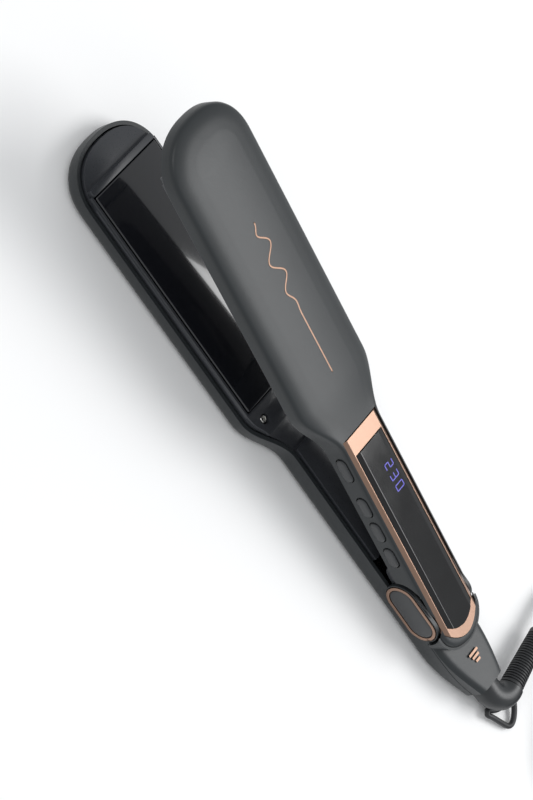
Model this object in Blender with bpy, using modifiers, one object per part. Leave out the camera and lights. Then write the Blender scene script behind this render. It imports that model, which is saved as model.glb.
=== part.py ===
"""Flat iron: two hinged arms with floating heated plates, a display, side buttons and a swivel cord.

Metres, +Z up. X runs along the arms towards the tip and Z = 0 is the table under the lower arm.
Both arms are modelled closed; the upper one hangs on an empty on the hinge axis and is then opened.
"""
import math

import bmesh
import bpy
from mathutils import Matrix, Vector

MM = 0.001
GAP = 0.3 * MM                      # clearance between pieces that touch

# Overall sizes
LENGTH = 293.5 * MM                 # tip to tail, without the swivel and cord
ARM_HEIGHT = 13.0 * MM              # table to the plane where the plates meet
OPEN_ANGLE = math.radians(10.46)    # how far the arms spring open
HEAD_WIDTH = 49.0 * MM
HANDLE_WIDTH = 27.8 * MM
WALL = 1.8 * MM                     # casing wall

# Heated plates
PLATE_LENGTH = 110.0 * MM
PLATE_WIDTH = 41.0 * MM
PLATE_THICKNESS = 3.0 * MM
PLATE_TO_TIP = 17.7 * MM            # plate's front edge to the tip
PLATE_GAP = 0.55 * MM               # around the plate, inside its rails
RAIL_WIDTH = 0.95 * MM
RAIL_DROP = 0.8 * MM                # rails lie this far under the plate plane
TIP_BAR_WIDTH = 2.8 * MM

# Outline in plan
TIP_DEPTH = 23.0 * MM
TIP_POWER = 2.3
SHOULDER_LENGTH = 28.0 * MM
SHOULDER_TO_PLATE = 1.8 * MM        # the plate's rear edge lies this far ahead of the shoulder
TAIL_LENGTH = 28.7 * MM
TAIL_WIDTH = 16.0 * MM
TAIL_TOP = 15.6 * MM
TAIL_BASE = 1.4 * MM

# Heights of the lower casing; the upper one mirrors the head's
HEAD_RIM = 9.0 * MM
HANDLE_RIM = 11.5 * MM
TAIL_RIM = 8.5 * MM
COVER_TOP = 10.5 * MM               # crescent and ledge inside the casing's rim
NECK_TOP = 12.0 * MM
GRIP_TOP = 12.6 * MM
COVER_BASE = 7.0 * MM
UPPER_TOP = 25.2 * MM
UPPER_GRIP_RIM = 14.8 * MM
UPPER_REAR_RIM = 21.5 * MM
NECK_POCKET = (-7.8 * MM, 5.3 * MM)
GRIP_BASE = 9.8 * MM
LOWER_COVER_REAR = -68.0 * MM       # clear of the ears, which reach forward of the hinge
UPPER_COVER_REAR = -78.0 * MM
EAR_REACH = 6.0 * MM                # how far the ears run forward under the upper cover
REAR_OVERHANG = 25.4 * MM           # upper casing behind the hinge

# Hinge
PIVOT = Vector((-95.8 * MM, 0.0, 14.6 * MM))
PIN_RADIUS = 2.0 * MM
CAP_LENGTH = 29.5 * MM
CAP_HEIGHT = 15.3 * MM
RING_WIDTH = 1.5 * MM
CHEEK_BORDER = 0.8 * MM             # cheek showing around the cap
CHEEK_FACE = HANDLE_WIDTH / 2 + 0.4 * MM
CHEEK_THICKNESS = 1.9 * MM
CAP_PROUD = 0.4 * MM
EAR_THICKNESS = 2.4 * MM
SPRING_WIRE = 1.2 * MM
SPRING_RADIUS = 4.4 * MM
SPRING_TURNS = 5

# Display
FRAME_FRONT = -5.7 * MM
FRAME_REAR = -117.2 * MM
FRAME_WIDTH = 24.0 * MM
FRAME_ARC = 8.0 * MM                # how far the rear end bows out
FRAME_BAND_FRONT = 8.3 * MM
FRAME_BAND_SIDE = 3.0 * MM
FRAME_BAND_REAR = 5.0 * MM
FRAME_PROUD = 0.4 * MM
FRAME_DEPTH = 2.6 * MM
LENS_PROUD = 0.5 * MM
LENS_FLANK = 2.2 * MM

# Buttons on the +Y side of the upper handle: name, distance from the frame's front, length
BUTTONS = (
    ("power_button", 12.7 * MM, 11.4 * MM),
    ("plus_button", 32.2 * MM, 9.8 * MM),
    ("minus_button", 45.3 * MM, 9.8 * MM),
    ("mode_button", 59.1 * MM, 9.8 * MM),
)
BUTTON_HEIGHT = 4.8 * MM
BUTTON_Z = 20.2 * MM
BUTTON_PROUD = 0.9 * MM
BUTTON_DEPTH = 2.5 * MM
SWITCH_SIZE = 3.6 * MM
BOARD_THICKNESS = 1.2 * MM

# Swivel, strain relief and hanging loop
SWIVEL_Z = 8.5 * MM
ELBOW_RADIUS = 6.3 * MM
ELBOW_BEND = 8.6 * MM
ELBOW_TURN = math.radians(105.0)
NECK_RADIUS = 3.4 * MM
SLEEVE_LENGTH = 31.0 * MM
SLEEVE_RADIUS = 5.3 * MM
SLEEVE_END_RADIUS = 4.3 * MM
SLEEVE_RIBS = 14
LOOP_WIRE = 1.3 * MM
LOOP_Z = 3.0 * MM
LOOP_LEGS = ((-15.6, -4.3, 0.0), (-19.1, -2.4, -0.4), (-22.3, 0.6, -0.9), (-23.7, 3.6, -1.2),
             (-22.5, 6.2, -1.0), (-18.4, 8.4, -0.5), (-13.4, 10.8, 0.0), (-10.5, 12.2, 0.0))   # mm

# Cord: 1.8 m, stored in a round coil behind the tail
CORD_DIAMETER = 5.5 * MM
CORD_ROUTE = ((-3.25, -66.0, 4.6), (-7.25, -78.0, 2.9), (-20.25, -84.8, 2.85), (-41.25, -85.6, 2.85),
              (-61.25, -85.2, 2.85))            # mm from the tail's end
CORD_SIDES = 3
COIL_BACK = 81.25 * MM              # coil's centre behind the tail and to its side
COIL_SIDE = 43.0 * MM
COIL_INNER = 21.6 * MM
COIL_OUTER = 38.4 * MM
COIL_HEIGHT = 17.0 * MM
PLUG_LENGTH = 36.0 * MM
PLUG_WIDTH = 25.0 * MM
PLUG_THICKNESS = 13.7 * MM
PLUG_PIN_LENGTH = 19.0 * MM
PLUG_PIN_RADIUS = 2.0 * MM
PLUG_PIN_SPACING = 18.6 * MM

# Places worked out from the sizes above
TIP_X = LENGTH / 2
TAIL_X = -LENGTH / 2
PLATE_FRONT = TIP_X - PLATE_TO_TIP
PLATE_REAR = PLATE_FRONT - PLATE_LENGTH
PLATE_X = (PLATE_FRONT + PLATE_REAR) / 2
HEAD_HALF = HEAD_WIDTH / 2
HANDLE_HALF = HANDLE_WIDTH / 2
SHOULDER_FRONT = PLATE_REAR - SHOULDER_TO_PLATE
SHOULDER_REAR = SHOULDER_FRONT - SHOULDER_LENGTH
TIP_CENTRE = TIP_X - TIP_DEPTH
WINDOW = (PLATE_LENGTH + 2 * PLATE_GAP, PLATE_WIDTH + 2 * PLATE_GAP)
CLOSED_HALF_GAP = 0.15 * MM         # each plate stops this far from the plate plane
SCREW_X = PLATE_REAR - 7.2 * MM
SCREW_Y = 15.3 * MM
UPPER_REAR = PIVOT.x - REAR_OVERHANG
COIL_CENTRE = Vector((TAIL_X - COIL_BACK, -COIL_SIDE, 0.0))

for old in list(bpy.data.objects):
    bpy.data.objects.remove(old, do_unlink=True)
parts = bpy.data.collections.new("flat_iron")
cutters = bpy.data.collections.new("cutters")
for group in (parts, cutters):
    bpy.context.scene.collection.children.link(group)


# ---------------------------------------------------------------- helpers

def material(name, colour, roughness, metallic=0.0):
    made = bpy.data.materials.new(name)
    made.use_nodes = True
    shader = made.node_tree.nodes["Principled BSDF"]
    shader.inputs["Base Color"].default_value = (*colour, 1.0)
    shader.inputs["Roughness"].default_value = roughness
    shader.inputs["Metallic"].default_value = metallic
    return made


def new_object(name, mesh, group=parts):
    made = bpy.data.objects.new(name, mesh)
    group.objects.link(made)
    return made


def from_bmesh(name, bm, group=parts):
    bmesh.ops.recalc_face_normals(bm, faces=bm.faces)
    mesh = bpy.data.meshes.new(name)
    bm.to_mesh(mesh)
    bm.free()
    return new_object(name, mesh, group)


def finish(obj, colour, roughness, metallic=0.0, holder=None, smooth=True):
    """Give a piece its material and shading, and hang it on the empty that carries it."""
    obj.data.materials.append(material(obj.name, colour, roughness, metallic))
    if smooth and obj.type == "MESH":
        obj.data.shade_smooth()
        obj.data.set_sharp_from_angle(angle=math.radians(35))
    if holder:
        hang(obj, holder)
    return obj


def hang(obj, holder):
    obj.parent = holder
    obj.matrix_parent_inverse = Matrix.Translation(holder_place(holder)).inverted()


def holder_place(holder):
    place = holder.location.copy()
    if holder.parent:
        place += holder_place(holder.parent)
    return place


def empty(name, place, parent=None):
    made = bpy.data.objects.new(name, None)
    parts.objects.link(made)
    made.location = place
    if parent:
        made.parent = parent
        made.location = Vector(place) - holder_place(parent)
    return made


def boolean(obj, other, operation="DIFFERENCE", holder=None):
    for group in list(other.users_collection):
        group.objects.unlink(other)
    cutters.objects.link(other)
    other.hide_render = True
    other.display_type = "WIRE"
    if holder:
        hang(other, holder)
    step = obj.modifiers.new(other.name, "BOOLEAN")
    step.operation = operation
    step.solver = "EXACT"
    step.object = other


def box(name, low, high, bevel=0.0, segments=2):
    low, high = Vector(low), Vector(high)
    bm = bmesh.new()
    bmesh.ops.create_cube(bm, size=1.0)
    bmesh.ops.scale(bm, vec=high - low, verts=bm.verts)
    if bevel:
        bmesh.ops.bevel(bm, geom=bm.edges[:], offset=bevel, segments=segments, affect="EDGES", profile=0.5)
    made = from_bmesh(name, bm)
    made.location = (low + high) / 2
    return made


def prism(name, outline, low, high, axis="Z", bevel=0.0):
    """Extrude a closed flat outline from low to high along Z, or along Y with the outline in X and Z."""
    bm = bmesh.new()
    if axis == "Z":
        points = [(x, y, low) for x, y in outline]
        shift = (0, 0, high - low)
    else:
        points = [(x, low, z) for x, z in outline]
        shift = (0, high - low, 0)
    face = bm.faces.new([bm.verts.new(point) for point in points])
    grown = bmesh.ops.extrude_face_region(bm, geom=[face])
    moved = [item for item in grown["geom"] if isinstance(item, bmesh.types.BMVert)]
    bmesh.ops.translate(bm, vec=shift, verts=moved)
    if bevel:
        ends = [edge for edge in bm.edges if len({round(v.co["XYZ".index(axis)], 6) for v in edge.verts}) == 1]
        bmesh.ops.bevel(bm, geom=ends, offset=bevel, segments=2, affect="EDGES", profile=0.5)
    return from_bmesh(name, bm)


def turned(name, profile, centre, axis, steps=32):
    """A closed profile of (radius, height) pairs, spun by a Screw modifier about the given axis."""
    mesh = bpy.data.meshes.new(name)
    points = [(radius, 0.0, height) for radius, height in profile]
    count = len(points)
    ring = profile[0][0] > 0 or profile[-1][0] > 0
    edges = [(i, (i + 1) % count) for i in range(count if ring else count - 1)]
    mesh.from_pydata(points, edges, [])
    made = new_object(name, mesh)
    made.location = centre
    made.rotation_mode = "QUATERNION"
    made.rotation_quaternion = Vector((0, 0, 1)).rotation_difference(Vector(axis))
    screw = made.modifiers.new("turn", "SCREW")
    screw.steps = screw.render_steps = steps
    screw.use_merge_vertices = True
    screw.merge_threshold = 1e-6
    return made


def cylinder(name, radius, low, high, steps=24):
    """A plain round bar between two points."""
    low, high = Vector(low), Vector(high)
    bm = bmesh.new()
    bmesh.ops.create_cone(bm, cap_ends=True, segments=steps, radius1=radius, radius2=radius,
                          depth=(high - low).length)
    turn = Vector((0, 0, 1)).rotation_difference(high - low).to_matrix()
    bmesh.ops.rotate(bm, cent=(0, 0, 0), matrix=turn, verts=bm.verts)
    made = from_bmesh(name, bm)
    made.location = (low + high) / 2
    return made


def tube(name, points, radius, resolution=2, radii=None):
    """A wire or cord along the points, as a poly curve with a round bevel."""
    curve = bpy.data.curves.new(name, "CURVE")
    curve.dimensions = "3D"
    curve.bevel_depth = radius
    curve.bevel_resolution = resolution
    curve.use_fill_caps = True
    line = curve.splines.new("POLY")
    line.points.add(len(points) - 1)
    for index, point in enumerate(points):
        line.points[index].co = (*point, 1.0)
        line.points[index].radius = radii[index] / radius if radii else 1.0
    return new_object(name, curve)


def as_mesh(obj):
    """Swap a curve for its mesh, with its end caps welded on."""
    bpy.context.view_layer.update()
    graph = bpy.context.evaluated_depsgraph_get()
    mesh = bpy.data.meshes.new_from_object(obj.evaluated_get(graph))
    bm = bmesh.new()
    bm.from_mesh(mesh)
    bmesh.ops.remove_doubles(bm, verts=bm.verts, dist=1e-6)
    bmesh.ops.recalc_face_normals(bm, faces=bm.faces)
    bm.to_mesh(mesh)
    bm.free()
    name = obj.name
    place = obj.matrix_world.copy()
    bpy.data.objects.remove(obj)
    mesh.name = name
    made = new_object(name, mesh)
    made.matrix_world = place
    return made


def blend(a, b, t):
    return a + (b - a) * t


def ease(value, low, high):
    """0 below low, 1 above high, and a cosine ramp between them."""
    t = min(max((value - low) / (high - low), 0.0), 1.0)
    return 0.5 - 0.5 * math.cos(math.pi * t)


def smooth_path(points, count):
    """Points evenly spread on the smooth curve through the given ones."""
    dense = []
    ends = [points[0] * 2 - points[1], *points, points[-1] * 2 - points[-2]]
    for a, b, c, d in zip(ends, ends[1:], ends[2:], ends[3:]):
        for step in range(24):
            t = step / 24
            dense.append(0.5 * (2 * b + (c - a) * t + (2 * a - 5 * b + 4 * c - d) * t * t
                                + (3 * b - a - 3 * c + d) * t ** 3))
    dense.append(points[-1])
    lengths = [0.0]
    for a, b in zip(dense, dense[1:]):
        lengths.append(lengths[-1] + (b - a).length)
    spread = []
    for index in range(count):
        target = lengths[-1] * index / (count - 1)
        place = max(i for i, run in enumerate(lengths) if run <= target + 1e-12)
        if place == len(dense) - 1:
            spread.append(dense[-1])
            continue
        t = (target - lengths[place]) / (lengths[place + 1] - lengths[place])
        spread.append(dense[place].lerp(dense[place + 1], t))
    return spread


def stadium(length, height, centre_x, centre_z, turn=0.0, steps=8):
    """A flat outline with round ends, turned about its centre."""
    radius = height / 2
    run = length / 2 - radius
    points = []
    for side in (1, -1):
        for step in range(steps + 1):
            angle = -math.pi / 2 + math.pi * step / steps
            x = side * (run + radius * math.cos(angle))
            z = side * radius * math.sin(angle)
            points.append((centre_x + x * math.cos(turn) - z * math.sin(turn),
                           centre_z + x * math.sin(turn) + z * math.cos(turn)))
    return points


# ---------------------------------------------------------------- outline of the arms

def half_width(x):
    """Half the arm's width in plan behind the rounded tip."""
    head = blend(HANDLE_HALF, HEAD_HALF, ease(x, SHOULDER_REAR, SHOULDER_FRONT))
    t = min(max((x - TAIL_X) / TAIL_LENGTH, 0.0), 1.0)
    return head - (HANDLE_HALF - TAIL_WIDTH / 2) * (1 - math.sin(math.pi / 2 * t))


def tip_stations(steps=9):
    """Points of the rounded tip as (x, half width, spine x), ending on the centre line."""
    made = []
    for step in range(1, steps + 1):
        angle = math.pi / 2 * step / steps
        x = TIP_CENTRE + TIP_DEPTH * math.sin(angle) ** (2 / TIP_POWER)
        y = HEAD_HALF * max(math.cos(angle), 0.0) ** (2 / TIP_POWER)
        made.append((x, 0.0 if step == steps else y, TIP_CENTRE))
    return made


def arm_stations(rear):
    """Stations from the rear to the tip, closer together where the outline bends."""
    xs = [TAIL_X + TAIL_LENGTH * k / 5 for k in range(1, 6)]
    xs += [PIVOT.x - 8 * MM, PIVOT.x + 8 * MM, (PIVOT.x + SHOULDER_REAR) / 2]
    xs += [blend(SHOULDER_REAR, SHOULDER_FRONT, k / 8) for k in range(9)]
    xs += [blend(SHOULDER_FRONT, TIP_CENTRE, k / 3) for k in range(1, 4)]
    xs = [rear] + sorted(x for x in xs if x > rear + MM)
    return [(x, half_width(x), x) for x in xs]


def inset_point(station, inset):
    x, y, spine = station
    run = math.hypot(spine - x, y)
    t = min(inset / run, 1.0)
    return x + (spine - x) * t, y * (1 - t)


def skin(name, stations, rings):
    """One half of an open casing surface; rings(x) gives (inset, z) pairs from the rim inwards.

    An inset of None is the centre line. The other half comes from a Mirror modifier.
    """
    bm = bmesh.new()
    grid = []
    for station in stations:
        row = []
        for inset, z in rings(station[0]):
            x, y = (station[2], 0.0) if inset is None else inset_point(station, inset)
            row.append(bm.verts.new((x, y, z)))
        grid.append(row)
    for near, far in zip(grid, grid[1:]):
        for k in range(len(near) - 1):
            bm.faces.new((near[k], far[k], far[k + 1], near[k + 1]))
    bmesh.ops.remove_doubles(bm, verts=bm.verts, dist=1e-6)
    bmesh.ops.dissolve_degenerate(bm, dist=1e-6, edges=bm.edges)
    bm.normal_update()
    top = max(bm.faces, key=lambda face: abs(face.normal.z) * face.calc_area())
    rim_z = rings(0.0)[0][1]
    outward = top.calc_center_median().z - rim_z
    if top.normal.z * outward < 0:
        bmesh.ops.reverse_faces(bm, faces=bm.faces)
    mesh = bpy.data.meshes.new(name)
    bm.to_mesh(mesh)
    bm.free()
    made = new_object(name, mesh)
    mirror = made.modifiers.new("other side", "MIRROR")
    mirror.use_axis = (False, True, False)
    mirror.merge_threshold = 1e-5
    solid = made.modifiers.new("wall", "SOLIDIFY")
    solid.thickness = WALL
    solid.offset = -1.0
    solid.use_even_offset = True
    return made


def plan(inset, rear, front=None):
    """Closed plan outline of an arm, drawn in square to its edge, between two X values."""
    outline = [(x, y) for x, y, spine in arm_stations(rear) + tip_stations()]
    half = []
    for index, (x, y) in enumerate(outline):
        before = outline[max(index - 1, 0)]
        after = outline[index + 1] if index + 1 < len(outline) else (before[0], -before[1])
        run = math.hypot(after[0] - before[0], after[1] - before[1])
        half.append((x + inset * (after[1] - before[1]) / run, y - inset * (after[0] - before[0]) / run))
    half[0] = (rear, half[0][1])
    if front is not None:
        half = [(x, y) for x, y in half if x < front - 1e-6] + [(front, half_width(front) - inset)]
    side = [point for point in half if point[1] > 1e-6]
    nose = [point for point in half if point[1] <= 1e-6][:1]
    return side + nose + [(x, -y) for x, y in reversed(side)]


def rim_height(x):
    """Height of the lower casing's rim."""
    z = blend(HANDLE_RIM, HEAD_RIM, ease(x, SHOULDER_REAR, SHOULDER_FRONT))
    return blend(TAIL_RIM, z, ease(x, TAIL_X, TAIL_X + TAIL_LENGTH))


def lower_rings(x):
    base = blend(TAIL_BASE, 0.0, ease(x, TAIL_X, TAIL_X + TAIL_LENGTH))
    shape = ((0.0, 4.2), (0.7, 2.2), (2.2, 0.9), (4.4, 0.2), (6.6, 0.0))
    rings = [(0.0, rim_height(x))]
    rings += [(inset * MM, base + z * MM) for inset, z in shape]
    return rings + [(None, base)]


def upper_rings(x):
    """Upper casing, closed: a low wall and a crowned top on the head, a boxy grip behind it."""
    s = ease(x, SHOULDER_REAR, SHOULDER_FRONT)
    rear = 1 - ease(x, PIVOT.x - 14 * MM, PIVOT.x + 14 * MM)
    grip_rim = blend(UPPER_GRIP_RIM, UPPER_REAR_RIM, rear)
    rim = blend(grip_rim, 2 * ARM_HEIGHT - HEAD_RIM, s)
    head = ((0.0, -4.8), (0.6, -3.4), (2.0, -2.5), (6.0, -1.3), (12.0, -0.4))
    grip = ((0.0, -2.2), (0.65, -0.65), (2.2, 0.0), (4.5, 0.0), (8.0, 0.0))
    rings = [(0.0, rim)]
    for (head_in, head_z), (grip_in, grip_z) in zip(head, grip):
        crown = blend(UPPER_TOP + grip_z * MM, 2 * ARM_HEIGHT + head_z * MM, s)
        rings.append((blend(grip_in, head_in, s) * MM, crown))
    return rings + [(None, blend(UPPER_TOP, 2 * ARM_HEIGHT, s))]


# ---------------------------------------------------------------- casings and covers

def hinge_sweep(name, length, height, low, high):
    """Outlines that the cheek sweeps in the upper arm as the arms open, as one prism each."""
    return [prism(f"{name}_{k}", stadium(length, height, PIVOT.x, PIVOT.z, OPEN_ANGLE * -k / 2),
                  low, high, "Y") for k in range(3)]


def make_lower_shell():
    shell = skin("lower_shell", arm_stations(TAIL_X) + tip_stations(), lower_rings)
    outline = stadium(CAP_LENGTH + 2 * CHEEK_BORDER, CAP_HEIGHT + 2 * CHEEK_BORDER, PIVOT.x, PIVOT.z)
    recess = stadium(CAP_LENGTH + 2 * GAP, CAP_HEIGHT + 2 * GAP, PIVOT.x, PIVOT.z)
    floor = CHEEK_FACE - CHEEK_THICKNESS / 2
    for name, side in (("left", 1), ("right", -1)):
        cheek = prism(f"cheek_{name}", outline, side * (CHEEK_FACE - CHEEK_THICKNESS), side * CHEEK_FACE, "Y")
        boolean(shell, cheek, "UNION")
        pocket = prism(f"cheek_{name}_recess", recess, side * floor, side * (CHEEK_FACE + MM), "Y")
        boolean(shell, pocket)
    for name, x, y in screw_places():
        boolean(shell, cylinder(f"boss_{name}", 3.0 * MM, (x, y, WALL / 2), (x, y, COVER_BASE - GAP)), "UNION")
        boolean(shell, cylinder(f"boss_{name}_bore", 1.5 * MM, (x, y, WALL), (x, y, ARM_HEIGHT)))
    reach = CHEEK_FACE + MM
    boolean(shell, cylinder("pin_bore", PIN_RADIUS + GAP, (PIVOT.x, -reach, PIVOT.z), (PIVOT.x, reach, PIVOT.z)))
    return finish(shell, (0.045, 0.047, 0.050), 0.5)


def make_tail_cover():
    front = PIVOT.x - CAP_LENGTH / 2 - CHEEK_BORDER - GAP
    xs = [station[0] for station in arm_stations(TAIL_X) if station[0] < front - MM] + [front]

    def rings(x):
        rise = ease(x, TAIL_X, TAIL_X + TAIL_LENGTH)
        top = blend(TAIL_TOP, TAIL_TOP - 1.2 * MM, rise)
        shape = ((0.0, -1.9), (0.9, -0.9), (2.6, -0.2), (5.0, 0.0))
        return ([(0.0, rim_height(x) + GAP)] + [(inset * MM, top + z * MM) for inset, z in shape]
                + [(None, top + 0.2 * MM)])

    cover = skin("tail_cover", [(x, half_width(x), x) for x in xs], rings)
    return finish(cover, (0.045, 0.047, 0.050), 0.5)


def make_upper_shell(holder):
    steps = 5
    stations = []
    for step in range(steps, 0, -1):
        angle = math.pi / 2 * step / steps
        depth = HANDLE_HALF * 0.85
        x = UPPER_REAR + depth - depth * math.sin(angle)
        y = HANDLE_HALF * max(math.cos(angle), 0.0)
        stations.append((x, 0.0 if step == steps else y, UPPER_REAR + depth))
    stations += arm_stations(UPPER_REAR + depth) + tip_stations()
    shell = skin("upper_shell", stations, upper_rings)
    cheek = (CAP_LENGTH + 2 * CHEEK_BORDER + 1.0 * MM, CAP_HEIGHT + 2 * CHEEK_BORDER + 1.0 * MM)
    for side in (1, -1):
        low, high = side * (CHEEK_FACE - CHEEK_THICKNESS - 0.5 * MM), side * (CHEEK_FACE + MM)
        for cutter in hinge_sweep(f"cheek_sweep_{'left' if side > 0 else 'right'}", *cheek, low, high):
            boolean(shell, cutter, holder=holder)
    opening = prism("display_opening", frame_outline(GAP), UPPER_TOP - 4 * MM, UPPER_TOP + 4 * MM)
    boolean(shell, opening, holder=holder)
    for name, x, length in button_places():
        hole = stadium(length + 2 * GAP, BUTTON_HEIGHT + 2 * GAP, x, BUTTON_Z, steps=6)
        boolean(shell, prism(f"{name}_hole", hole, HANDLE_HALF - 3 * MM, HANDLE_HALF + 2 * MM, "Y"),
                holder=holder)
    for name, x, y in screw_places():
        low = 2 * ARM_HEIGHT - COVER_BASE + GAP
        roof = UPPER_TOP - WALL / 2
        boss = cylinder(f"upper_boss_{name}", 3.0 * MM, (x, y, low), (x, y, roof))
        boolean(shell, boss, "UNION", holder)
        bore = cylinder(f"upper_boss_{name}_bore", 1.5 * MM, (x, y, ARM_HEIGHT), (x, y, roof - WALL / 2))
        boolean(shell, bore, holder=holder)
    return finish(shell, (0.045, 0.047, 0.050), 0.5, holder=holder)


def screw_places():
    return (("neck_left", SCREW_X, SCREW_Y), ("neck_right", SCREW_X, -SCREW_Y))


def button_places():
    return [(name, FRAME_FRONT - back, length) for name, back, length in BUTTONS]


def cover(prefix, flip, rear, holder=None):
    """The inner cover of one arm; flip mirrors heights about the plate plane for the upper arm."""
    def z(value):
        return 2 * ARM_HEIGHT - value if flip else value

    def layer(name, outline, low, high):
        return prism(f"{prefix}_{name}", outline, min(z(low), z(high)), max(z(low), z(high)))

    inset = WALL + 2 * GAP
    pocket_rear, pocket_front = NECK_POCKET
    base = layer("cover", plan(inset, pocket_rear - 4 * MM), COVER_BASE, COVER_TOP)
    window_rear = PLATE_X - WINDOW[0] / 2
    window_front = PLATE_X + WINDOW[0] / 2
    side = WINDOW[1] / 2 + RAIL_WIDTH
    grip = layer("cover_grip", plan(inset + GAP, rear, pocket_rear), GRIP_BASE, GRIP_TOP)
    neck = layer("cover_neck", plan(inset + GAP, pocket_front, window_rear - RAIL_WIDTH / 2), COVER_BASE + MM, NECK_TOP)
    rails = layer("cover_rails", rectangle(window_rear - RAIL_WIDTH, window_front + GAP, side),
                  COVER_BASE + MM, ARM_HEIGHT - RAIL_DROP)
    bar = layer("cover_tip_bar", rectangle(window_front - MM, window_front + TIP_BAR_WIDTH, side - 1.3 * MM),
                COVER_BASE + MM, ARM_HEIGHT - CLOSED_HALF_GAP)
    for piece in (grip, neck, rails, bar):
        boolean(base, piece, "UNION", holder)
    window = layer("cover_window", rectangle(window_rear, window_front, WINDOW[1] / 2),
                   COVER_BASE - MM, ARM_HEIGHT + MM)
    boolean(base, window, holder=holder)
    for name, x, y in screw_places():
        for part, radius, low in (("bore", 1.5 * MM, COVER_BASE - MM), ("seat", 2.3 * MM, NECK_TOP - 2 * MM)):
            hole = cylinder(f"{prefix}_{name}_{part}", radius, (x, y, z(low)), (x, y, z(ARM_HEIGHT + MM)))
            boolean(base, hole, holder=holder)
    return base


def rectangle(rear, front, side):
    return [(rear, -side), (front, -side), (front, side), (rear, side)]


def make_covers(holder):
    lower = cover("lower", False, LOWER_COVER_REAR)
    finish(lower, (0.035, 0.036, 0.040), 0.4)
    upper = cover("upper", True, UPPER_COVER_REAR, holder)
    ear_face = CHEEK_FACE - CHEEK_THICKNESS - 0.5 * MM
    for name, side in (("left", 1), ("right", -1)):
        reach = UPPER_COVER_REAR + EAR_REACH
        radius = 2 * PIN_RADIUS + 0.4 * MM
        middle = (reach + PIVOT.x - radius) / 2
        shape = stadium(reach - PIVOT.x + radius, 2 * radius, middle, PIVOT.z, steps=10)
        ear = prism(f"ear_{name}", shape, side * (ear_face - EAR_THICKNESS), side * ear_face, "Y")
        boolean(upper, ear, "UNION", holder)
    bore = cylinder("ear_bore", PIN_RADIUS + GAP, (PIVOT.x, -HANDLE_HALF, PIVOT.z),
                    (PIVOT.x, HANDLE_HALF, PIVOT.z))
    boolean(upper, bore, holder=holder)
    finish(upper, (0.035, 0.036, 0.040), 0.4, holder=holder)


# ---------------------------------------------------------------- plates, heaters and pads

def make_plate_set(prefix, flip, slide, arm=None):
    """Plate, ceramic heater, clamp and sensor on the sliding holder, and the pads behind them."""
    def span(name, size_x, size_y, low, high, x=PLATE_X, y=0.0, bevel=0.0):
        z0, z1 = (2 * ARM_HEIGHT - high, 2 * ARM_HEIGHT - low) if flip else (low, high)
        return box(name, (x - size_x / 2, y - size_y / 2, z0), (x + size_x / 2, y + size_y / 2, z1), bevel)

    face = ARM_HEIGHT - CLOSED_HALF_GAP
    back = face - PLATE_THICKNESS
    plate = span(f"{prefix}_plate", PLATE_LENGTH, PLATE_WIDTH, back, face, bevel=0.7 * MM)
    finish(plate, (0.012, 0.012, 0.014), 0.12, 0.3, slide)
    heater = span(f"{prefix}_heater", PLATE_LENGTH * 0.75, 15 * MM, back - GAP - 2.2 * MM, back - GAP)
    finish(heater, (0.75, 0.72, 0.66), 0.6, 0.0, slide)
    clamp_top = back - 2 * GAP - 2.2 * MM
    clamp = span(f"{prefix}_heater_clamp", PLATE_LENGTH * 0.85, 22 * MM, clamp_top - 0.8 * MM, clamp_top,
                 bevel=0.2 * MM)
    finish(clamp, (0.6, 0.6, 0.62), 0.3, 1.0, slide)
    sensor = span(f"{prefix}_{'thermistor' if flip else 'thermal_fuse'}", 9 * MM, 2 * MM,
                  back - GAP - 2 * MM, back - GAP, y=11 * MM, bevel=0.6 * MM)
    finish(sensor, (0.7, 0.66, 0.55), 0.4, 0.5, slide)
    for name, share in (("front", 0.32), ("rear", -0.32)):
        pad = span(f"{prefix}_pad_{name}", 12 * MM, 14 * MM, WALL + GAP, clamp_top - 0.8 * MM - GAP,
                   x=PLATE_X + PLATE_LENGTH * share, bevel=0.5 * MM)
        finish(pad, (0.55, 0.12, 0.08), 0.7, holder=arm)


# ---------------------------------------------------------------- hinge

def make_hinge():
    reach = CHEEK_FACE - CHEEK_THICKNESS / 2 - GAP
    pin = cylinder("hinge_pin", PIN_RADIUS, (PIVOT.x, -reach, PIVOT.z), (PIVOT.x, reach, PIVOT.z))
    finish(pin, (0.6, 0.6, 0.62), 0.25, 1.0)
    floor = CHEEK_FACE - CHEEK_THICKNESS / 2 + GAP
    for name, side in (("left", 1), ("right", -1)):
        ring = prism(f"hinge_ring_{name}", stadium(CAP_LENGTH, CAP_HEIGHT, PIVOT.x, PIVOT.z, steps=12),
                     side * floor, side * (CHEEK_FACE + CAP_PROUD), "Y")
        hole = stadium(CAP_LENGTH - 2 * RING_WIDTH, CAP_HEIGHT - 2 * RING_WIDTH, PIVOT.x, PIVOT.z, steps=12)
        boolean(ring, prism(f"hinge_ring_{name}_hole", hole, side * (floor - MM), side * (CHEEK_FACE + 2 * MM),
                            "Y"))
        finish(ring, (0.62, 0.39, 0.26), 0.25, 1.0)
        inner = stadium(CAP_LENGTH - 2 * RING_WIDTH - 2 * GAP, CAP_HEIGHT - 2 * RING_WIDTH - 2 * GAP,
                        PIVOT.x, PIVOT.z, steps=12)
        cap = prism(f"hinge_cap_{name}", inner, side * floor, side * (CHEEK_FACE + CAP_PROUD * 0.6), "Y")
        finish(cap, (0.07, 0.072, 0.078), 0.4)


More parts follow.
